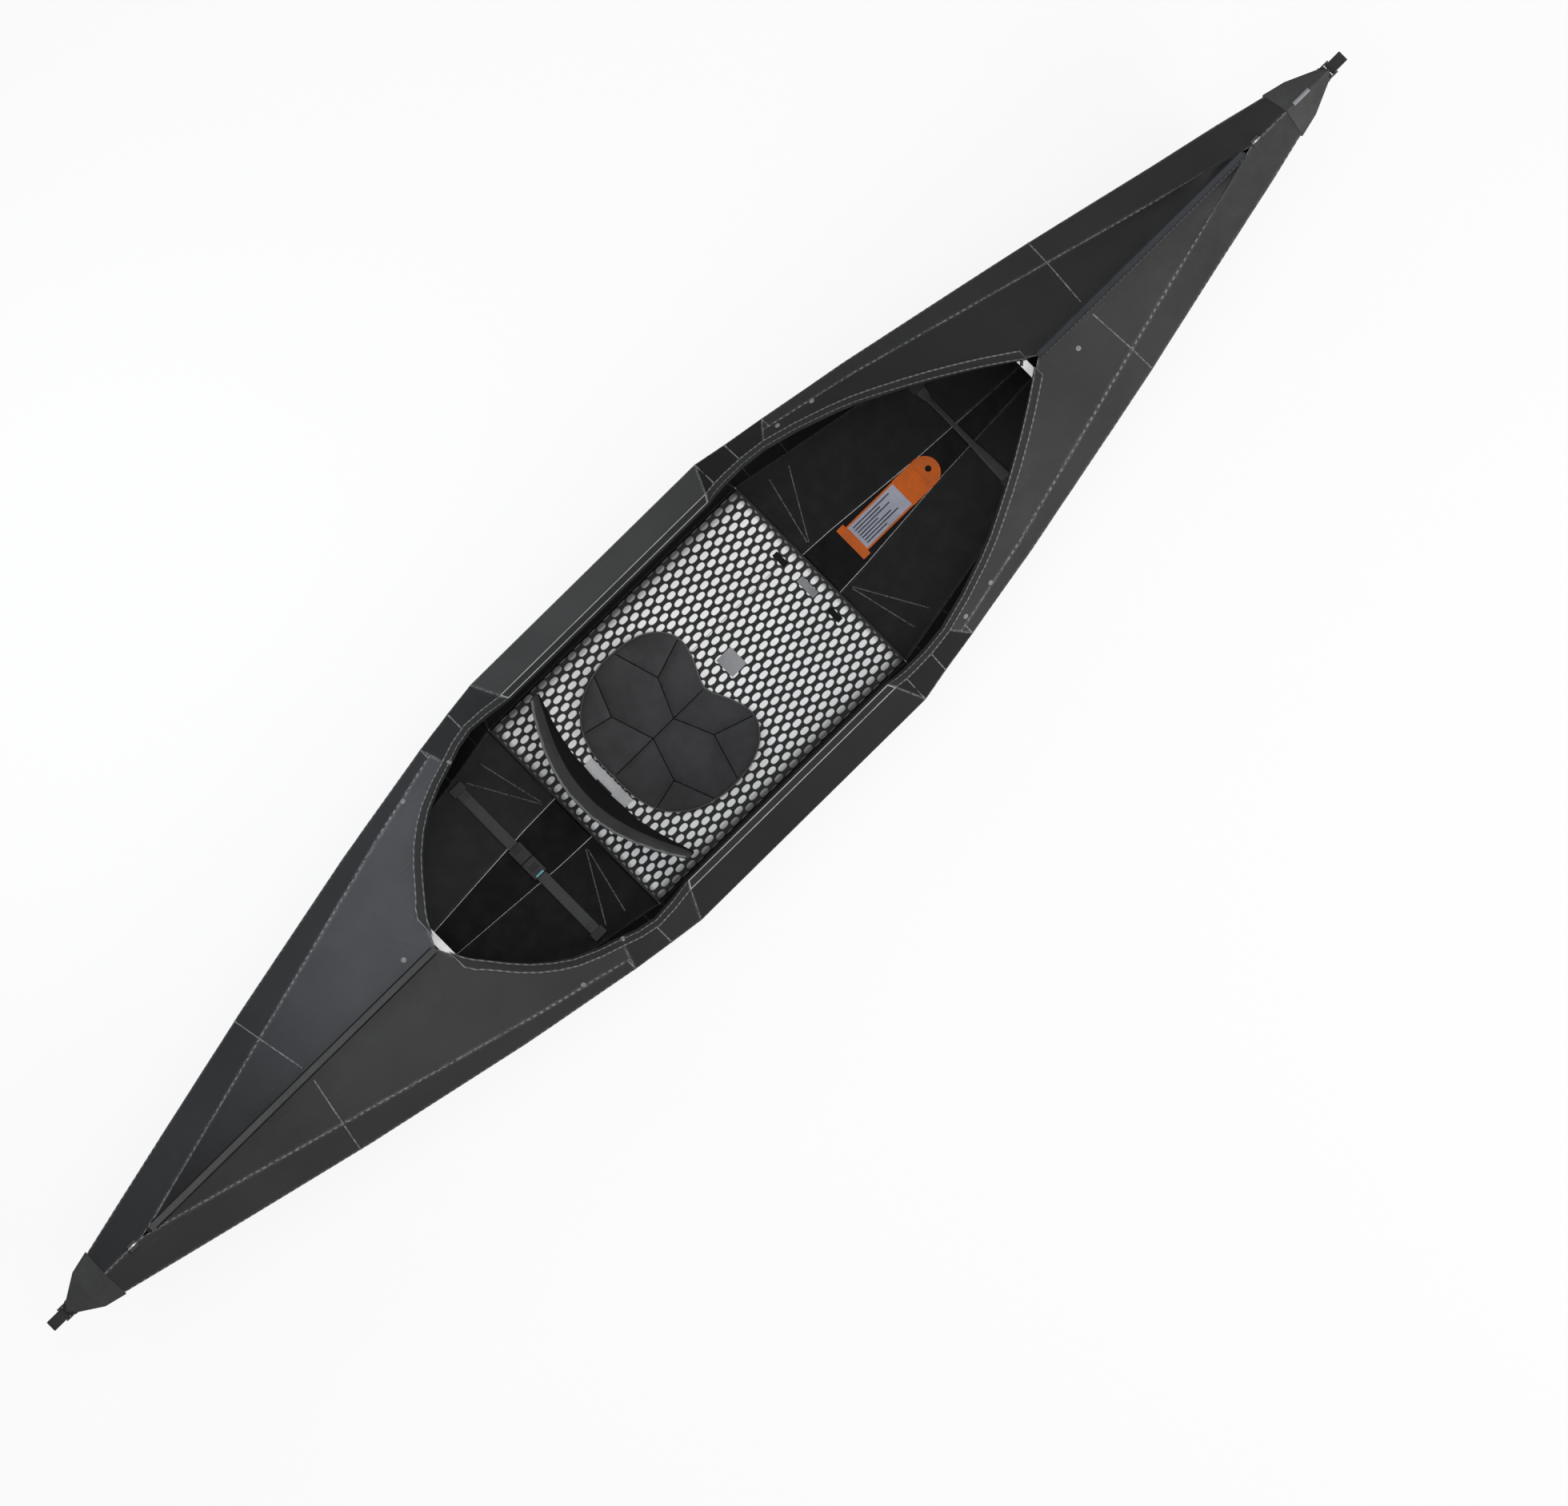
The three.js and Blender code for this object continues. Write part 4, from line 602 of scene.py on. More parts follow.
def direction(points, k, closed=False):
    before, after = neighbours(points, k, closed)
    return (after - before).normalized()


def ring_faces(bm, a, b):
    """The faces between two rings with the same number of corners."""
    count = len(a)
    return [bm.faces.new((a[s], a[(s + 1) % count], b[(s + 1) % count], b[s])) for s in range(count)]


def cover(bm, rings, closed=False):
    """Side faces over a row of rings, row by row. A row that isn't closed gets flat ends too."""
    rows = [ring_faces(bm, a, b) for a, b in zip(rings, rings[1:] + rings[:1] if closed else rings[1:])]
    if not closed:
        bm.faces.new(rings[0])
        bm.faces.new(rings[-1][::-1])
    return rows


def section_rings(bm, points, ups, section, width, height, closed=False):
    """A section of (across, up) shares set square to a line at each of its points."""
    rings = []
    for k, (point, upward) in enumerate(zip(points, ups)):
        run = direction(points, k, closed)
        up = (upward - run * upward.dot(run)).normalized()
        across = run.cross(up)
        rings.append([bm.verts.new(point + across * u * width + up * v * height) for u, v in section])
    return rings


def sweep_lines(name, lines, width, height, material, body="hull"):
    """Low domed ribbons that lie on a surface, each along a list of (point, normal)."""
    bm = bmesh.new()
    section = ((-0.5, -0.4), (-0.3, 0.75), (0.0, 1.0), (0.3, 0.75), (0.5, -0.4))
    for line in lines:
        points, normals = zip(*line)
        cover(bm, section_rings(bm, points, normals, section, width, height))
    closed_piece(name, bm, material, body, 60.0)


outer_lines, inner_lines, floor_lines = [], [], []


def add_crease(node, start, end, inside, keep=lambda place: True):
    """A crease on both broad faces of a panel, in the upright plane through two places seen from above."""
    (x0, y0), (x1, y1) = start, end
    for out, lines in ((True, outer_lines), (False, inside)):
        lines.extend(cut_lines(node, out, (x0, y0, 0), (y1 - y0, x0 - x1, 0), keep))


# Near the cockpit's ends each crease runs square across some panels of both sides
UPPER_PARTS = ("side", "side_deck", "outer_deck")
SQUARE_CREASES = (
    (0.334, "bow", ("side", "side_deck", "bilge")),
    (0.408, "bow", UPPER_PARTS),
    (0.503, "bow", UPPER_PARTS),
    (-0.412, "stern", UPPER_PARTS),
    (-0.506, "stern", UPPER_PARTS),
)
EDGE_MARGIN = 0.004
for place, end, parts in SQUARE_CREASES:
    for node in [f"{end}_{part}_{side}" for part in parts for side, _ in SIDES]:
        low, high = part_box(node)
        if low[0] + EDGE_MARGIN < place < high[0] - EDGE_MARGIN:
            add_crease(node, (place, 0), (place, 1), inner_lines)

# Towards each end one crease crosses deck and sides, leaning away from the middle as it runs outwards
LEANING_START = 1.15
LEANS = {"bow": 0.09, "stern": 0.2}
SEAM_MARGIN = 0.012
for end, way in ENDS:
    for side, sign in SIDES:
        start = (way * LEANING_START, 0.0)
        stop = (way * (LEANING_START + LEANS[end]), sign)
        for part in ("side", "outer_deck", "inner_deck", "bilge"):
            node = f"{end}_{part}_{side}"
            add_crease(node, start, stop, inner_lines, lambda place: place.y * sign > SEAM_MARGIN)

# On each bilge two short creases spread from one place near the middle box
BILGE_START = (0.395, 0.057)
BILGE_STOPS = ((0.488, 0.219), (0.435, 0.224))
for side, sign in SIDES:
    for end, way in ENDS:
        for stop in BILGE_STOPS:
            first, last = ((way * x, sign * y) for x, y in (BILGE_START, stop))
            low, high = sorted((first[0], last[0]))
            node = f"{end}_bilge_{side}"
            add_crease(node, first, last, floor_lines, lambda place: low <= place.x <= high)

sweep_lines("creases_outside", outer_lines, 0.0034, 0.0005, CREASE_ACROSS)
sweep_lines("creases_inside", inner_lines, 0.0026, 0.0005, CREASE_INSIDE)
sweep_lines("creases_floor", floor_lines, 0.0032, 0.0006, CREASE_FLOOR)


# Rails and rim trims: a sunk middle, between two light edges on the trims. On the middle trims these light
# edges are a painted highlight
def dress_channel(node, border, materials, deep=0.0006):
    bm = node_bmesh(node)
    top = regions([face for face in bm.faces if face.normal.z > 0.45], math.radians(40.0))[0]
    for face in inset(bm, top, border):
        face.material_index = 1
    for vert in {vert for face in top for vert in face.verts}:
        vert.co -= vert.normal * deep
    obj = from_bmesh("dressed_" + node, bm, materials, BODY_OF[node], 30.0)
    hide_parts(node)


for end, rail in (("bow", RAIL), ("stern", RAIL_LIGHT)):
    dress_channel(end + "_deck_rail", 0.0012, [rail, rail], 0.0004)
    for side, _ in SIDES:
        dress_channel(f"{end}_rim_trim_{side}", 0.003, [TRIM, TRIM_EDGE])
for side, _ in SIDES:
    dress_channel(f"mid_rim_trim_{side}", 0.0035, [TRIM, TRIM_PAINTED_HIGHLIGHT])


def rail_side_strip(name, end, away, width, material):
    """A strip beside a rail that lies on the deck and slides with the rail."""
    margin = 0.003
    low, high = (corner[0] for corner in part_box(end + "_deck_rail"))
    low, high = low + margin, high - margin
    deck = f"{end}_inner_deck_" + ("port" if away > 0 else "starboard")
    lines = cut_lines(deck, True, (0, away, 0), (0, 1, 0), lambda place: low < place.x < high)
    sweep_lines(name, lines, width, 0.0009, material, end + " rail")


# A painted bluish sheen lies on the deck along the bow rail's port side
rail_side_strip("bow_rail_painted_sheen", "bow", 0.0087, 0.0038, RAIL)
rail_side_strip("bow_rail_line", "bow", -0.0079, 0.0024, RAIL_EDGE)
# Painted shadow in the gaps on both sides of the stern rail
rail_side_strip("stern_rail_painted_shadow_port", "stern", 0.0086, 0.0038, RAIL_PAINTED_SHADOW)
rail_side_strip("stern_rail_painted_shadow_starboard", "stern", -0.0086, 0.0038, RAIL_PAINTED_SHADOW)


# Carried-over CAD nodes get soft edges and their material
def finish_node(node, material, bevel, segments=2, sharp=38.0):
    obj = NODES[node]
    obj.data.materials.clear()
    obj.data.materials.append(material)
    weld = obj.modifiers.new("weld", "WELD")
    weld.merge_threshold = 1e-6
    soft = obj.modifiers.new("soft_edges", "BEVEL")
    soft.width = bevel
    soft.segments = segments
    soft.limit_method = "ANGLE"
    soft.angle_limit = math.radians(sharp)


for end, cap in (("bow", CAP), ("stern", CAP_STERN)):
    finish_node(end + "_apex_plate", PLATE, 0.0006)
    finish_node(end + "_end_cap", cap, 0.0012, 2, 30.0)
    finish_node(end + "_ring_saddle", CAP, 0.0006)
    finish_node(end + "_deck_ring", STEEL, 0.0009)
finish_node("floorboard", FLOOR_BOARD, 0.0012)
finish_node("seat_bracket", PALE, 0.0008)
for side, _ in SIDES:
    finish_node("front_strap_anchor_" + side, BUCKLE, 0.0012)
    finish_node("rear_strap_anchor_" + side, BUCKLE, 0.0012)
finish_node("buckle_female", BUCKLE, 0.0016, 3)
finish_node("buckle_male", BUCKLE, 0.0016, 3)
finish_node("tag_holder", ORANGE, 0.0007)
finish_node("tag_label", LABEL, 0.0002)


# Soft goods: the CAD form as voxels, swollen by cloth pressure, then subdivided
SWELL_FRAMES = 20
PRESSURE = 4.0


def evaluated(obj):
    graph = bpy.context.evaluated_depsgraph_get()
    graph.update()
    return bpy.data.meshes.new_from_object(obj.evaluated_get(graph))


def with_modifier(obj, kind, **values):
    """Applies a modifier with these values to the object's mesh."""
    modifier = obj.modifiers.new(kind.lower(), kind)
    for name, value in values.items():
        setattr(modifier, name, value)
    made = evaluated(obj)
    obj.modifiers.clear()
    obj.data = made


def swell(obj, held, cap, allowed):
    """Cloth under pressure. Each point moves by at most the cap, to a place that is allowed."""
    start = [vertex.co.copy() for vertex in obj.data.vertices]
    ends = start
    scene = bpy.context.scene
    group = obj.vertex_groups.new(name="held")
    for index, place in enumerate(start):
        group.add([index], held(place), "REPLACE")
    cloth = obj.modifiers.new("cloth", "CLOTH")
    cloth.settings.use_pressure = True
    cloth.settings.uniform_pressure_force = PRESSURE
    cloth.settings.effector_weights.gravity = 0.0
    cloth.settings.vertex_group_mass = "held"
    cloth.settings.quality = 4
    cloth.collision_settings.use_collision = False
    cloth.point_cache.frame_start = 1
    cloth.point_cache.frame_end = SWELL_FRAMES
    for number in range(1, SWELL_FRAMES + 1):
        scene.frame_set(number)
    ends = [vertex.co.copy() for vertex in evaluated(obj).vertices]
    obj.modifiers.clear()
    obj.vertex_groups.clear()
    scene.frame_set(1)
    for vertex, a, b in zip(obj.data.vertices, start, ends):
        move = b - a
        vertex.co = allowed(a + move * min(1.0, cap / max(move.length, 1e-9)))


def surface_of(*objects):
    """A tree that rays can hit, over the surfaces of all the objects."""
    bm = bmesh.new()
    for obj in objects:
        bm.from_mesh(obj.data)
    tree = BVHTree.FromBMesh(bm)
    bm.free()
    return tree


def circle(count):
    """Cosine and sine of a full turn's equal steps."""
    turns = [2 * math.pi * k / count for k in range(count)]
    return [(math.cos(turn), math.sin(turn)) for turn in turns]


def smoothed(points, closed=False):
    around = [neighbours(points, k, closed) for k in range(len(points))]
    return [(before + point * 2 + after) / 4 for point, (before, after) in zip(points, around)]


def piping(name, points, radius, body, closed=False):
    """A round cord edge along its points."""
    bm = bmesh.new()
    rings = []
    for k, point in enumerate(points):
        run = direction(points, k, closed)
        across = run.cross(UP).normalized()
        up = across.cross(run)
        rings.append([bm.verts.new(point + (across * c + up * s) * radius) for c, s in circle(8)])
    cover(bm, rings, closed)
    closed_piece(name, bm, PIPING, body, 70.0)


# Seat pad: its quilting channels run between places given as shares of its length and half width
PAD_FRONT, PAD_LENGTH, PAD_HALF = 0.058, 0.308, 0.19
PAD_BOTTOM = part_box("seat_pad")[0][2]
PAD_REAR_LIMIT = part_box("seat_bracket")[1][0] + 0.0025
CHANNELS = [
    ((1, 0), (0.12, 0)), ((0.42, 0), (0.3, 0.45)), ((0.3, 0.45), (0.4, 1)), ((0.3, 0.45), (0.02, 0.6)),
    ((0.62, 0), (0.72, 0.5)), ((0.72, 0.5), (0.98, 0.6)), ((0.72, 0.5), (0.6, 1)),
]


def pad_place(share, sign=1):
    return Vector((PAD_FRONT - share[0] * PAD_LENGTH, sign * share[1] * PAD_HALF, 0.0))


def to_channel(place):
    """Distance from a place on the pad to the nearest channel, seen from above."""
    flat = Vector((place.x, abs(place.y), 0.0))
    nearest = 1.0
    for a, b in CHANNELS:
        a, b = pad_place(a), pad_place(b)
        share = max(0.0, min(1.0, (flat - a).dot(b - a) / (b - a).length_squared))
        nearest = min(nearest, (a.lerp(b, share) - flat).length)
    return nearest


def near_channel(place, width):
    return math.exp(-((to_channel(place) / width) ** 2))


def pad_held(place):
    return 1.0 if place.z < PAD_BOTTOM + 0.004 else near_channel(place, 0.007)


def pad_allowed(place):
    return Vector((max(place.x, PAD_REAR_LIMIT), place.y, max(place.z, PAD_BOTTOM)))


def voxel_object(name, bm, voxel):
    """A soft piece's start: the solid as even small faces, a little rounded."""
    obj = add_object(name, mesh_of(name, bm))
    with_modifier(obj, "REMESH", mode="VOXEL", voxel_size=voxel)
    with_modifier(obj, "SMOOTH", factor=0.5, iterations=2)
    return obj


def finish_soft(obj, name, node, materials):
    with_modifier(obj, "SUBSURF", levels=1)
    obj.data.materials.clear()
    for material in materials:
        obj.data.materials.append(material)
    for polygon in obj.data.polygons:
        polygon.use_smooth = True
    obj.name = name
    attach(obj, BODY_OF[node])
    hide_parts(node)


def make_pad():
    pad = voxel_object("pad_start", node_bmesh("seat_pad"), 0.005)
    channel_depth, channel_width = 0.0035, 0.0045
    for vertex in pad.data.vertices:
        if vertex.co.z > PAD_BOTTOM + 0.012:
            vertex.co.z -= channel_depth * near_channel(vertex.co, channel_width)
    swell(pad, pad_held, 0.006, pad_allowed)
    finish_soft(pad, "seat_pad_quilt", "seat_pad", [FABRIC])
    return surface_of(pad)


def make_pad_seams(surface):
    """Thread along the channels, on both halves of the pad."""
    lines = []
    for a, b in CHANNELS:
        on_middle = a[1] == 0 and b[1] == 0
        for sign in (1,) if on_middle else (1, -1):
            first, last = pad_place(a, sign), pad_place(b, sign)
            steps = max(2, int((last - first).length / 0.006))
            places = [first.lerp(last, k / steps) for k in range(steps + 1)]
            rays = [surface.ray_cast(place + UP * 0.2, DOWN)[:2] for place in places]
            line = [(hit, normal) for hit, normal in rays if hit is not None and hit.z > PAD_BOTTOM + 0.01]
            if len(line) > 2:
                lines.append(line)
    sweep_lines("seat_pad_seams", lines, 0.0034, 0.0007, THREAD, "floor and seat")


def make_pad_piping(surface):
    centre = Vector((PAD_FRONT - 0.5 * PAD_LENGTH, 0.0, PAD_BOTTOM + 0.0125))
    edge = []
    for c, s in circle(120):
        way = Vector((c, s, 0.0))
        hit = surface.ray_cast(centre + way * 0.5, -way)[0]
        if hit is not None:
            edge.append(hit + way * 0.0002)
    edge = smoothed(edge, True)
    for point in edge:
        point.x = max(point.x, PAD_REAR_LIMIT)
    piping("seat_pad_piping", edge, 0.0022, "floor and seat", True)


pad_surface = make_pad()
make_pad_seams(pad_surface)
make_pad_piping(pad_surface)


# Backrest: the padded part is cut from the hinge foot, which keeps its hard form
FOOT_HEIGHT = 0.0268
BACK_HALF, BACK_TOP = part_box("backrest")[1][1:]


def part_of_backrest(keep_above):
    """The backrest's solid above or below the top of its foot."""
    bm = node_bmesh("backrest")
    bisect(bm, (0, 0, FOOT_HEIGHT), UP, clear_inner=keep_above, clear_outer=not keep_above)
    bmesh.ops.holes_fill(bm, edges=[edge for edge in bm.edges if len(edge.link_faces) == 1], sides=0)
    bmesh.ops.recalc_face_normals(bm, faces=bm.faces)
    return bm


def backrest_held(place):
    return 1.0 if place.z < 0.045 else 0.15


def backrest_allowed(place):
    return Vector((place.x, place.y, max(place.z, FOOT_HEIGHT)))


def make_backrest():
    """The pad with its dark front and lighter band, and the foot below it."""
    rest = voxel_object("backrest_start", part_of_backrest(True), 0.0042)
    swell(rest, backrest_held, 0.005, backrest_allowed)
    finish_soft(rest, "backrest_pad", "backrest", [FABRIC_DARK, FABRIC_BAND])
    fall_to_corner, band_height = 0.115, 0.058
    for polygon in rest.data.polygons:
        top = BACK_TOP - fall_to_corner * (polygon.center.y / BACK_HALF) ** 2
        front = polygon.normal.x > 0.3 and polygon.center.z < top - band_height
        polygon.material_index = 0 if front else 1
    foot = closed_piece("backrest_foot", part_of_backrest(False), BUCKLE, "backrest", 40.0)
    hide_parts("backrest")
    return surface_of(rest)


def make_backrest_piping(surface):
    """Piping along the highest points of the pad, from one side to the other."""
    reach = BACK_HALF - 0.006
    first_x, step_x = -0.37, 0.0035
    crest = []
    for k in range(95):
        y = -reach + 2 * reach * k / 94
        rays = [surface.ray_cast(Vector((first_x + step_x * step, y, 0.6)), DOWN)[0] for step in range(40)]
        hits = [hit for hit in rays if hit is not None]
        if hits:
            crest.append(max(hits, key=lambda hit: hit.z))
    piping("backrest_piping", smoothed(crest), 0.0028, "backrest")


make_backrest_piping(make_backrest())


# Webbing
def band(node, points, ups, width, thickness, material, closed=False):
    """A node's flat strap with rounded edges along its points. Its UV coordinates are metres."""
    bm = bmesh.new()
    uv = bm.loops.layers.uv.new("UVMap")
    half = [(-0.5, 0.0), (-0.47, 0.5), (-0.2, 0.5), (0.0, 0.5), (0.2, 0.5), (0.47, 0.5)]
    section = half + [(-u, -v) for u, v in half]
    rings = section_rings(bm, points, ups, section, width, thickness, closed)
    lengths = [0.0]
    for a, b in zip(points, points[1:] + points[:1]):
        lengths.append(lengths[-1] + (b - a).length)
    for row, near, far in zip(cover(bm, rings, closed), lengths, lengths[1:]):
        for face, (u, _), (next_u, _) in zip(row, section, section[1:] + section[:1]):
            corners = ((u, near), (next_u, near), (next_u, far), (u, far))
            for loop, (across, along) in zip(face.loops, corners):
                loop[uv].uv = (across * width, along)
    strap = closed_piece(node + "_webbing", bm, material, BODY_OF[node], 55.0)
    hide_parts(node)


END_GAP = 0.0002
STRAP_THICKNESS = 0.0021


def make_front_strap():
    """The strap sags a little and twists between its anchors, more steeply at port."""
    middle = middle_of("front_strap")
    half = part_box("front_strap")[1][1] - END_GAP
    sag, twist = 0.002, math.radians(64.0)
    port_run, starboard_run = 0.03, 0.1
    points, ups = [], []
    for k in range(49):
        y = half - 2 * half * k / 48
        port = min(1.0, (half - y) / port_run)
        starboard = max(0.0, min(1.0, (half + y) / starboard_run))
        angle = twist * port * starboard ** 0.7 * (0.82 + 0.18 * math.sin(14.0 * y + 0.6))
        points.append(Vector((middle.x, y, middle.z - sag * (1.0 - (y / half) ** 2))))
        ups.append(Vector((math.sin(angle), 0, math.cos(angle))))
    band("front_strap", points, ups, 0.0245, STRAP_THICKNESS, WEB)


def make_rear_strap(node, sign):
    """One half of the rear strap, from its anchor to the buckle, with stitches near the anchor."""
    middle = middle_of(node)
    reach = [abs(corner[1]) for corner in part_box(node)]
    start, end = sign * (max(reach) - END_GAP), sign * (min(reach) + END_GAP)
    points = [Vector((middle.x, start + (end - start) * k / 40, middle.z)) for k in range(41)]
    ups = [(UP + Vector((0.05 * math.sin(40.0 * point.y), 0, 0))).normalized() for point in points]
    band(node, points, ups, 0.0248, STRAP_THICKNESS, WEB)
    stitched = [start + (end - start) * share for share in (0.045, 0.065, 0.085, 0.105, 0.125)]
    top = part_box(node)[1][2]
    columns = [middle.x + shift for shift in (-0.008, -0.003, 0.003, 0.008)]
    rows = [[(Vector((x, y, top)), UP) for y in stitched] for x in columns]
    sweep_lines(node + "_stitches", rows, 0.0012, 0.0004, WEB_DARK, "hull")


def make_grab_loop(end, way, rise):
    """Webbing round the cap's bar and back: two arcs with straight runs between them."""
    near, far, length, segments = 0.0048, 0.0057, 0.033, 16
    tangent = math.acos((near - far) / length)
    arcs = ((length, far, -tangent, tangent), (0.0, near, tangent, 2 * math.pi - tangent))
    pin = Vector(PIN_OF[end + " loop"])
    tilt = Matrix.Rotation(-way * rise, 3, "Y")
    points, ups = [], []
    for centre, radius, low, high in arcs:
        for k in range(segments + 1):
            angle = low + (high - low) * k / segments
            out = Vector((way * math.cos(angle), 0, math.sin(angle)))
            points.append(pin + tilt @ (Vector((way * centre, 0, 0)) + out * radius))
            ups.append(tilt @ out)
    band(end + "_grab_loop", points, ups, 0.025, 0.0026, WEB_DARK, True)


def make_cap_web(end, way, material):
    """The cap's web between the cheeks, behind the bar that carries the loop."""
    front, back, width, above, below = 0.0074, 0.03, 0.0262, 0.0022, 0.0062
    pin = Vector(PIN_OF[end + " loop"])
    bm = bmesh.new()
    bmesh.ops.create_cube(bm, size=1.0)
    for vert in bm.verts:
        x = -way * (front if vert.co.x > 0 else back)
        z = above if vert.co.z > 0 else -below
        vert.co = pin + Vector((x, vert.co.y * width, z))
    bmesh.ops.bevel(bm, geom=bm.edges[:], offset=0.0014, segments=2, affect="EDGES")
    closed_piece(end + "_cap_web", bm, material, "hull", 40.0)


make_front_strap()
for side, sign in SIDES:
    make_rear_strap("rear_strap_" + side, sign)
for (end, way), degrees in zip(ENDS, (24, 4)):
    make_grab_loop(end, way, math.radians(degrees))
for (end, way), cap in zip(ENDS, (CAP, CAP_STERN)):
    make_cap_web(end, way, cap)


# Small details
SHELL = surface_of(*[bpy.data.objects["skin_" + node] for node in PANELS])


def dome(bm, place, normal, radius, height):
    """A rivet head with a thin rim round its foot."""
    side = normal.orthogonal().normalized()
    other = normal.cross(side)
    profile = ((1.0, -0.1), (1.0, 0.25), (0.82, 0.38), (0.62, 0.42), (0.55, 0.72), (0.34, 0.95))
    rings = []
    for share, level in profile:
        outs = [side * c + other * s for c, s in circle(18)]
        rings.append([bm.verts.new(place + out * radius * share + normal * height * level) for out in outs])
    for a, b in zip(rings, rings[1:]):
        ring_faces(bm, a, b)
    bm.faces.new(rings[0][::-1])
    top = bm.verts.new(place + normal * height)
    for a, b in zip(rings[-1], rings[-1][1:] + rings[-1][:1]):
        bm.faces.new((a, b, top))


def make_rivets():
    paired = ((0.604, 0.27), (0.516, 0.284), (-0.609, 0.272), (-0.481, 0.262))
    single = [(1.08, -0.048), (-0.842, 0.03)]
    bm = bmesh.new()
    for x, y in [(x, sign * y) for x, y in paired for _, sign in SIDES] + single:
        hit, normal, _, _ = SHELL.ray_cast(Vector((x, y, 1.0)), DOWN)
        if hit is not None:
            dome(bm, hit, normal, 0.0058, 0.0026)
    closed_piece("deck_rivets", bm, RIVET, "hull", 50.0)


def make_strip():
    """The plain white strip on the starboard side near the stern."""
    first, last = Vector((-1.760, -1.0, 0.274)), Vector((-1.682, -1.0, 0.257))
    rays = [SHELL.ray_cast(first.lerp(last, k / 13), Vector((0, 1, 0))) for k in range(14)]
    line = [(hit, normal) for hit, normal, _, _ in rays if hit is not None]
    if len(line) > 2:
        sweep_lines("plain_side_strip", [line], 0.016, 0.0006, STRIP, "hull")


def flat_lines(name, level, lines, width, height, material, body):
    """Ribbons on a level surface, each from one (x, y) to another."""
    swept = []
    for a, b in lines:
        first, last = Vector((*a, level)), Vector((*b, level))
        swept.append([(first.lerp(last, k / 6), UP) for k in range(7)])
    sweep_lines(name, swept, width, height, material, body)


def make_plates():
    """Two plates on the floorboard's middle and the clip on the bow's apex plate."""
    board_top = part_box("floorboard")[1][2]
    plates = (("floor_plate", 0.331, 0.02, 0.0012), ("floor_patch", 0.102, 0.05, 0.0007))
    for name, x, width, height in plates:
        line = ((x, -0.025), (x, 0.025))
        flat_lines(name, board_top, [line], width, height, PATCH, "floor and seat")
    plate_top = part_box("bow_apex_plate")[1][2]
    line = ((0.968, 0.010), (0.984, 0.024))
    flat_lines("apex_clip", plate_top, [line], 0.008, 0.003, RAIL, "hull")


def make_buckle_lines():
    """Grip ribs on both halves of the buckle and a coloured thread on its plug."""
    middle = middle_of("buckle_female")
    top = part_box("buckle_female")[1][2]
    halves = (("buckle_ribs", "hull", 0.03, 0.005), ("plug_ribs", "buckle plug", -0.012, -0.005))
    for name, body, first, pitch in halves:
        places = [first + k * pitch for k in range(3)]
        ribs = [((middle.x - 0.011, y), (middle.x + 0.011, y)) for y in places]
        flat_lines(name, top, ribs, 0.0024, 0.0009, BUCKLE, body)
    thread = ((middle.x - 0.01, -0.036), (middle.x + 0.01, -0.036))
    flat_lines("plug_thread", top, [thread], 0.005, 0.0007, TEAL, "buckle plug")


def make_label_rules():
    """Plain lines of several lengths on the tag's card, the first one nearest to port."""
    low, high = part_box("tag_label")
    margin = 0.008
    start, length = low[0] + margin, high[0] - low[0] - 2 * margin
    rules = []
    for k, share in enumerate((0.9, 0.62, 0.8, 0.45, 0.72, 0.84, 0.5)):
        y = low[1] + (high[1] - low[1]) * (0.86 - 0.12 * k)
        rules.append(((start, y), (start + length * share, y)))
    flat_lines("label_rules", high[2], rules, 0.0034, 0.00025, PRINT, "tag")


def make_bow_clip():
    """A short level clip over the bow's ridge, on the cap or the skin, whichever is higher."""
    cap = surface_of(NODES["bow_end_cap"])
    start, length = 1.763, 0.045
    places = [Vector((start + length * k / 8, 0.0, 1.0)) for k in range(9)]
    hits = [tree.ray_cast(place, DOWN)[0] for place in places for tree in (cap, SHELL)]
    level = max(hit.z for hit in hits if hit is not None)
    line = [(Vector((place.x, 0.0, level)), UP) for place in places]
    sweep_lines("bow_ridge_clip", [line], 0.009, 0.003, PATCH, "hull")


make_rivets()
make_strip()
make_plates()
make_buckle_lines()
make_label_rules()
make_bow_clip()


# Floor and light
WORLD_STRENGTH = 0.3
WHITE = (1, 1, 1, 1)


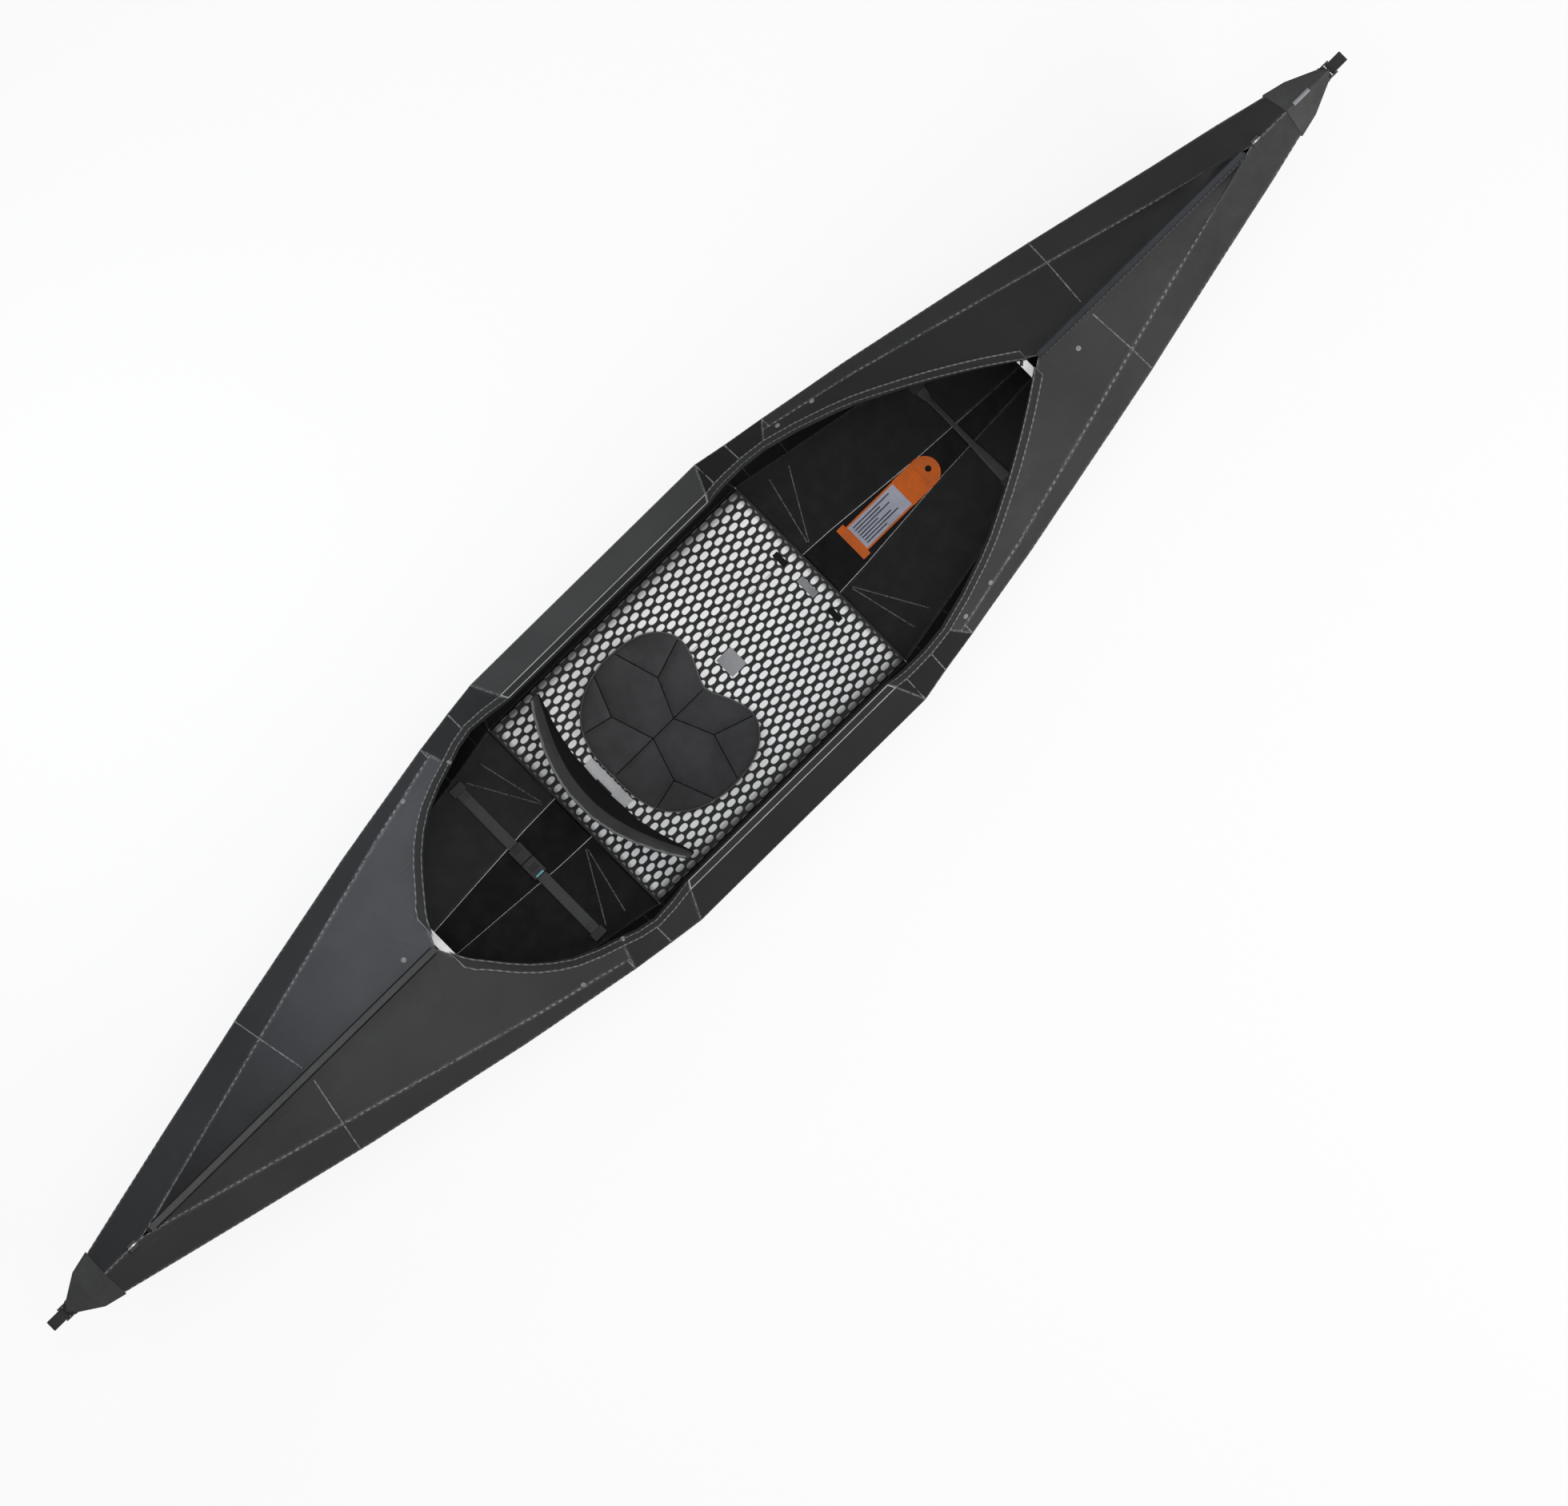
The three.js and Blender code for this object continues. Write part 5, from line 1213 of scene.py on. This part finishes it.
def seen_share(wiring, camera_share):
    """1 for rays that reflect or pass through, and the share given for the camera's own."""
    path = wiring.node("LightPath")
    total = wiring.times(path.outputs["Is Camera Ray"], camera_share)
    for name in ("Is Glossy Ray", "Is Transmission Ray"):
        total = wiring.math("MAXIMUM", total, path.outputs[name])
    return total


def show_white(wiring, shaded, white, camera_share, output_type):
    """Shows white instead of the shaded surface, fully to some rays and by a share to the camera."""
    white.inputs["Color"].default_value = WHITE
    share = seen_share(wiring, camera_share)
    mixer = wiring.fed("MixShader", {0: share, 1: shaded.outputs[0], 2: white.outputs[0]})
    output = next(node for node in wiring.tree.nodes if node.type == output_type)
    wiring.feed(output.inputs["Surface"], mixer.outputs[0])


def make_stage():
    half = 40
    mesh = bpy.data.meshes.new("ground")
    corners = [(-half, -half, 0), (half, -half, 0), (half, half, 0), (-half, half, 0)]
    mesh.from_pydata(corners, [], [(0, 1, 2, 3)])
    ground = add_object("ground", mesh)
    ground.location.z = -0.0005
    shader = Shader("ground_white", 0.9)
    shader.colour(tone(232))
    show_white(shader, shader.bsdf, shader.node("Emission"), 0.88, "OUTPUT_MATERIAL")
    mesh.materials.append(shader.material)


def make_world():
    world = bpy.data.worlds.new("studio")
    bpy.context.scene.world = world
    world.use_nodes = True
    wiring = Wiring(world.node_tree)
    back = wiring.tree.nodes["Background"]
    back.inputs["Color"].default_value = (0.93, 0.96, 1.0, 1)
    back.inputs["Strength"].default_value = WORLD_STRENGTH
    show_white(wiring, back, wiring.node("Background"), 1.0, "OUTPUT_WORLD")


def area_light(name, place, target, size, power, colour=(1, 1, 1)):
    data = bpy.data.lights.new(name, "AREA")
    data.shape = "RECTANGLE"
    data.size, data.size_y = size
    data.energy = power
    data.color = colour
    light = add_object(name, data)
    light.location = place
    light.rotation_euler = (Vector(target) - Vector(place)).to_track_quat("-Z", "Y").to_euler()


make_stage()
make_world()
area_light("key", (2.8, -3.6, 2.8), (0.3, 0, 0.2), (3.0, 2.0), 125)
area_light("overhead", (-0.1, 0.0, 5.0), (0, 0, 0), (4.0, 2.6), 128)
area_light("rim_port", (-0.8, 1.5, 1.25), (-0.85, 0.1, 0.3), (0.7, 0.5), 9, (0.86, 0.93, 1.0))

bpy.context.scene.view_settings.view_transform = "Standard"
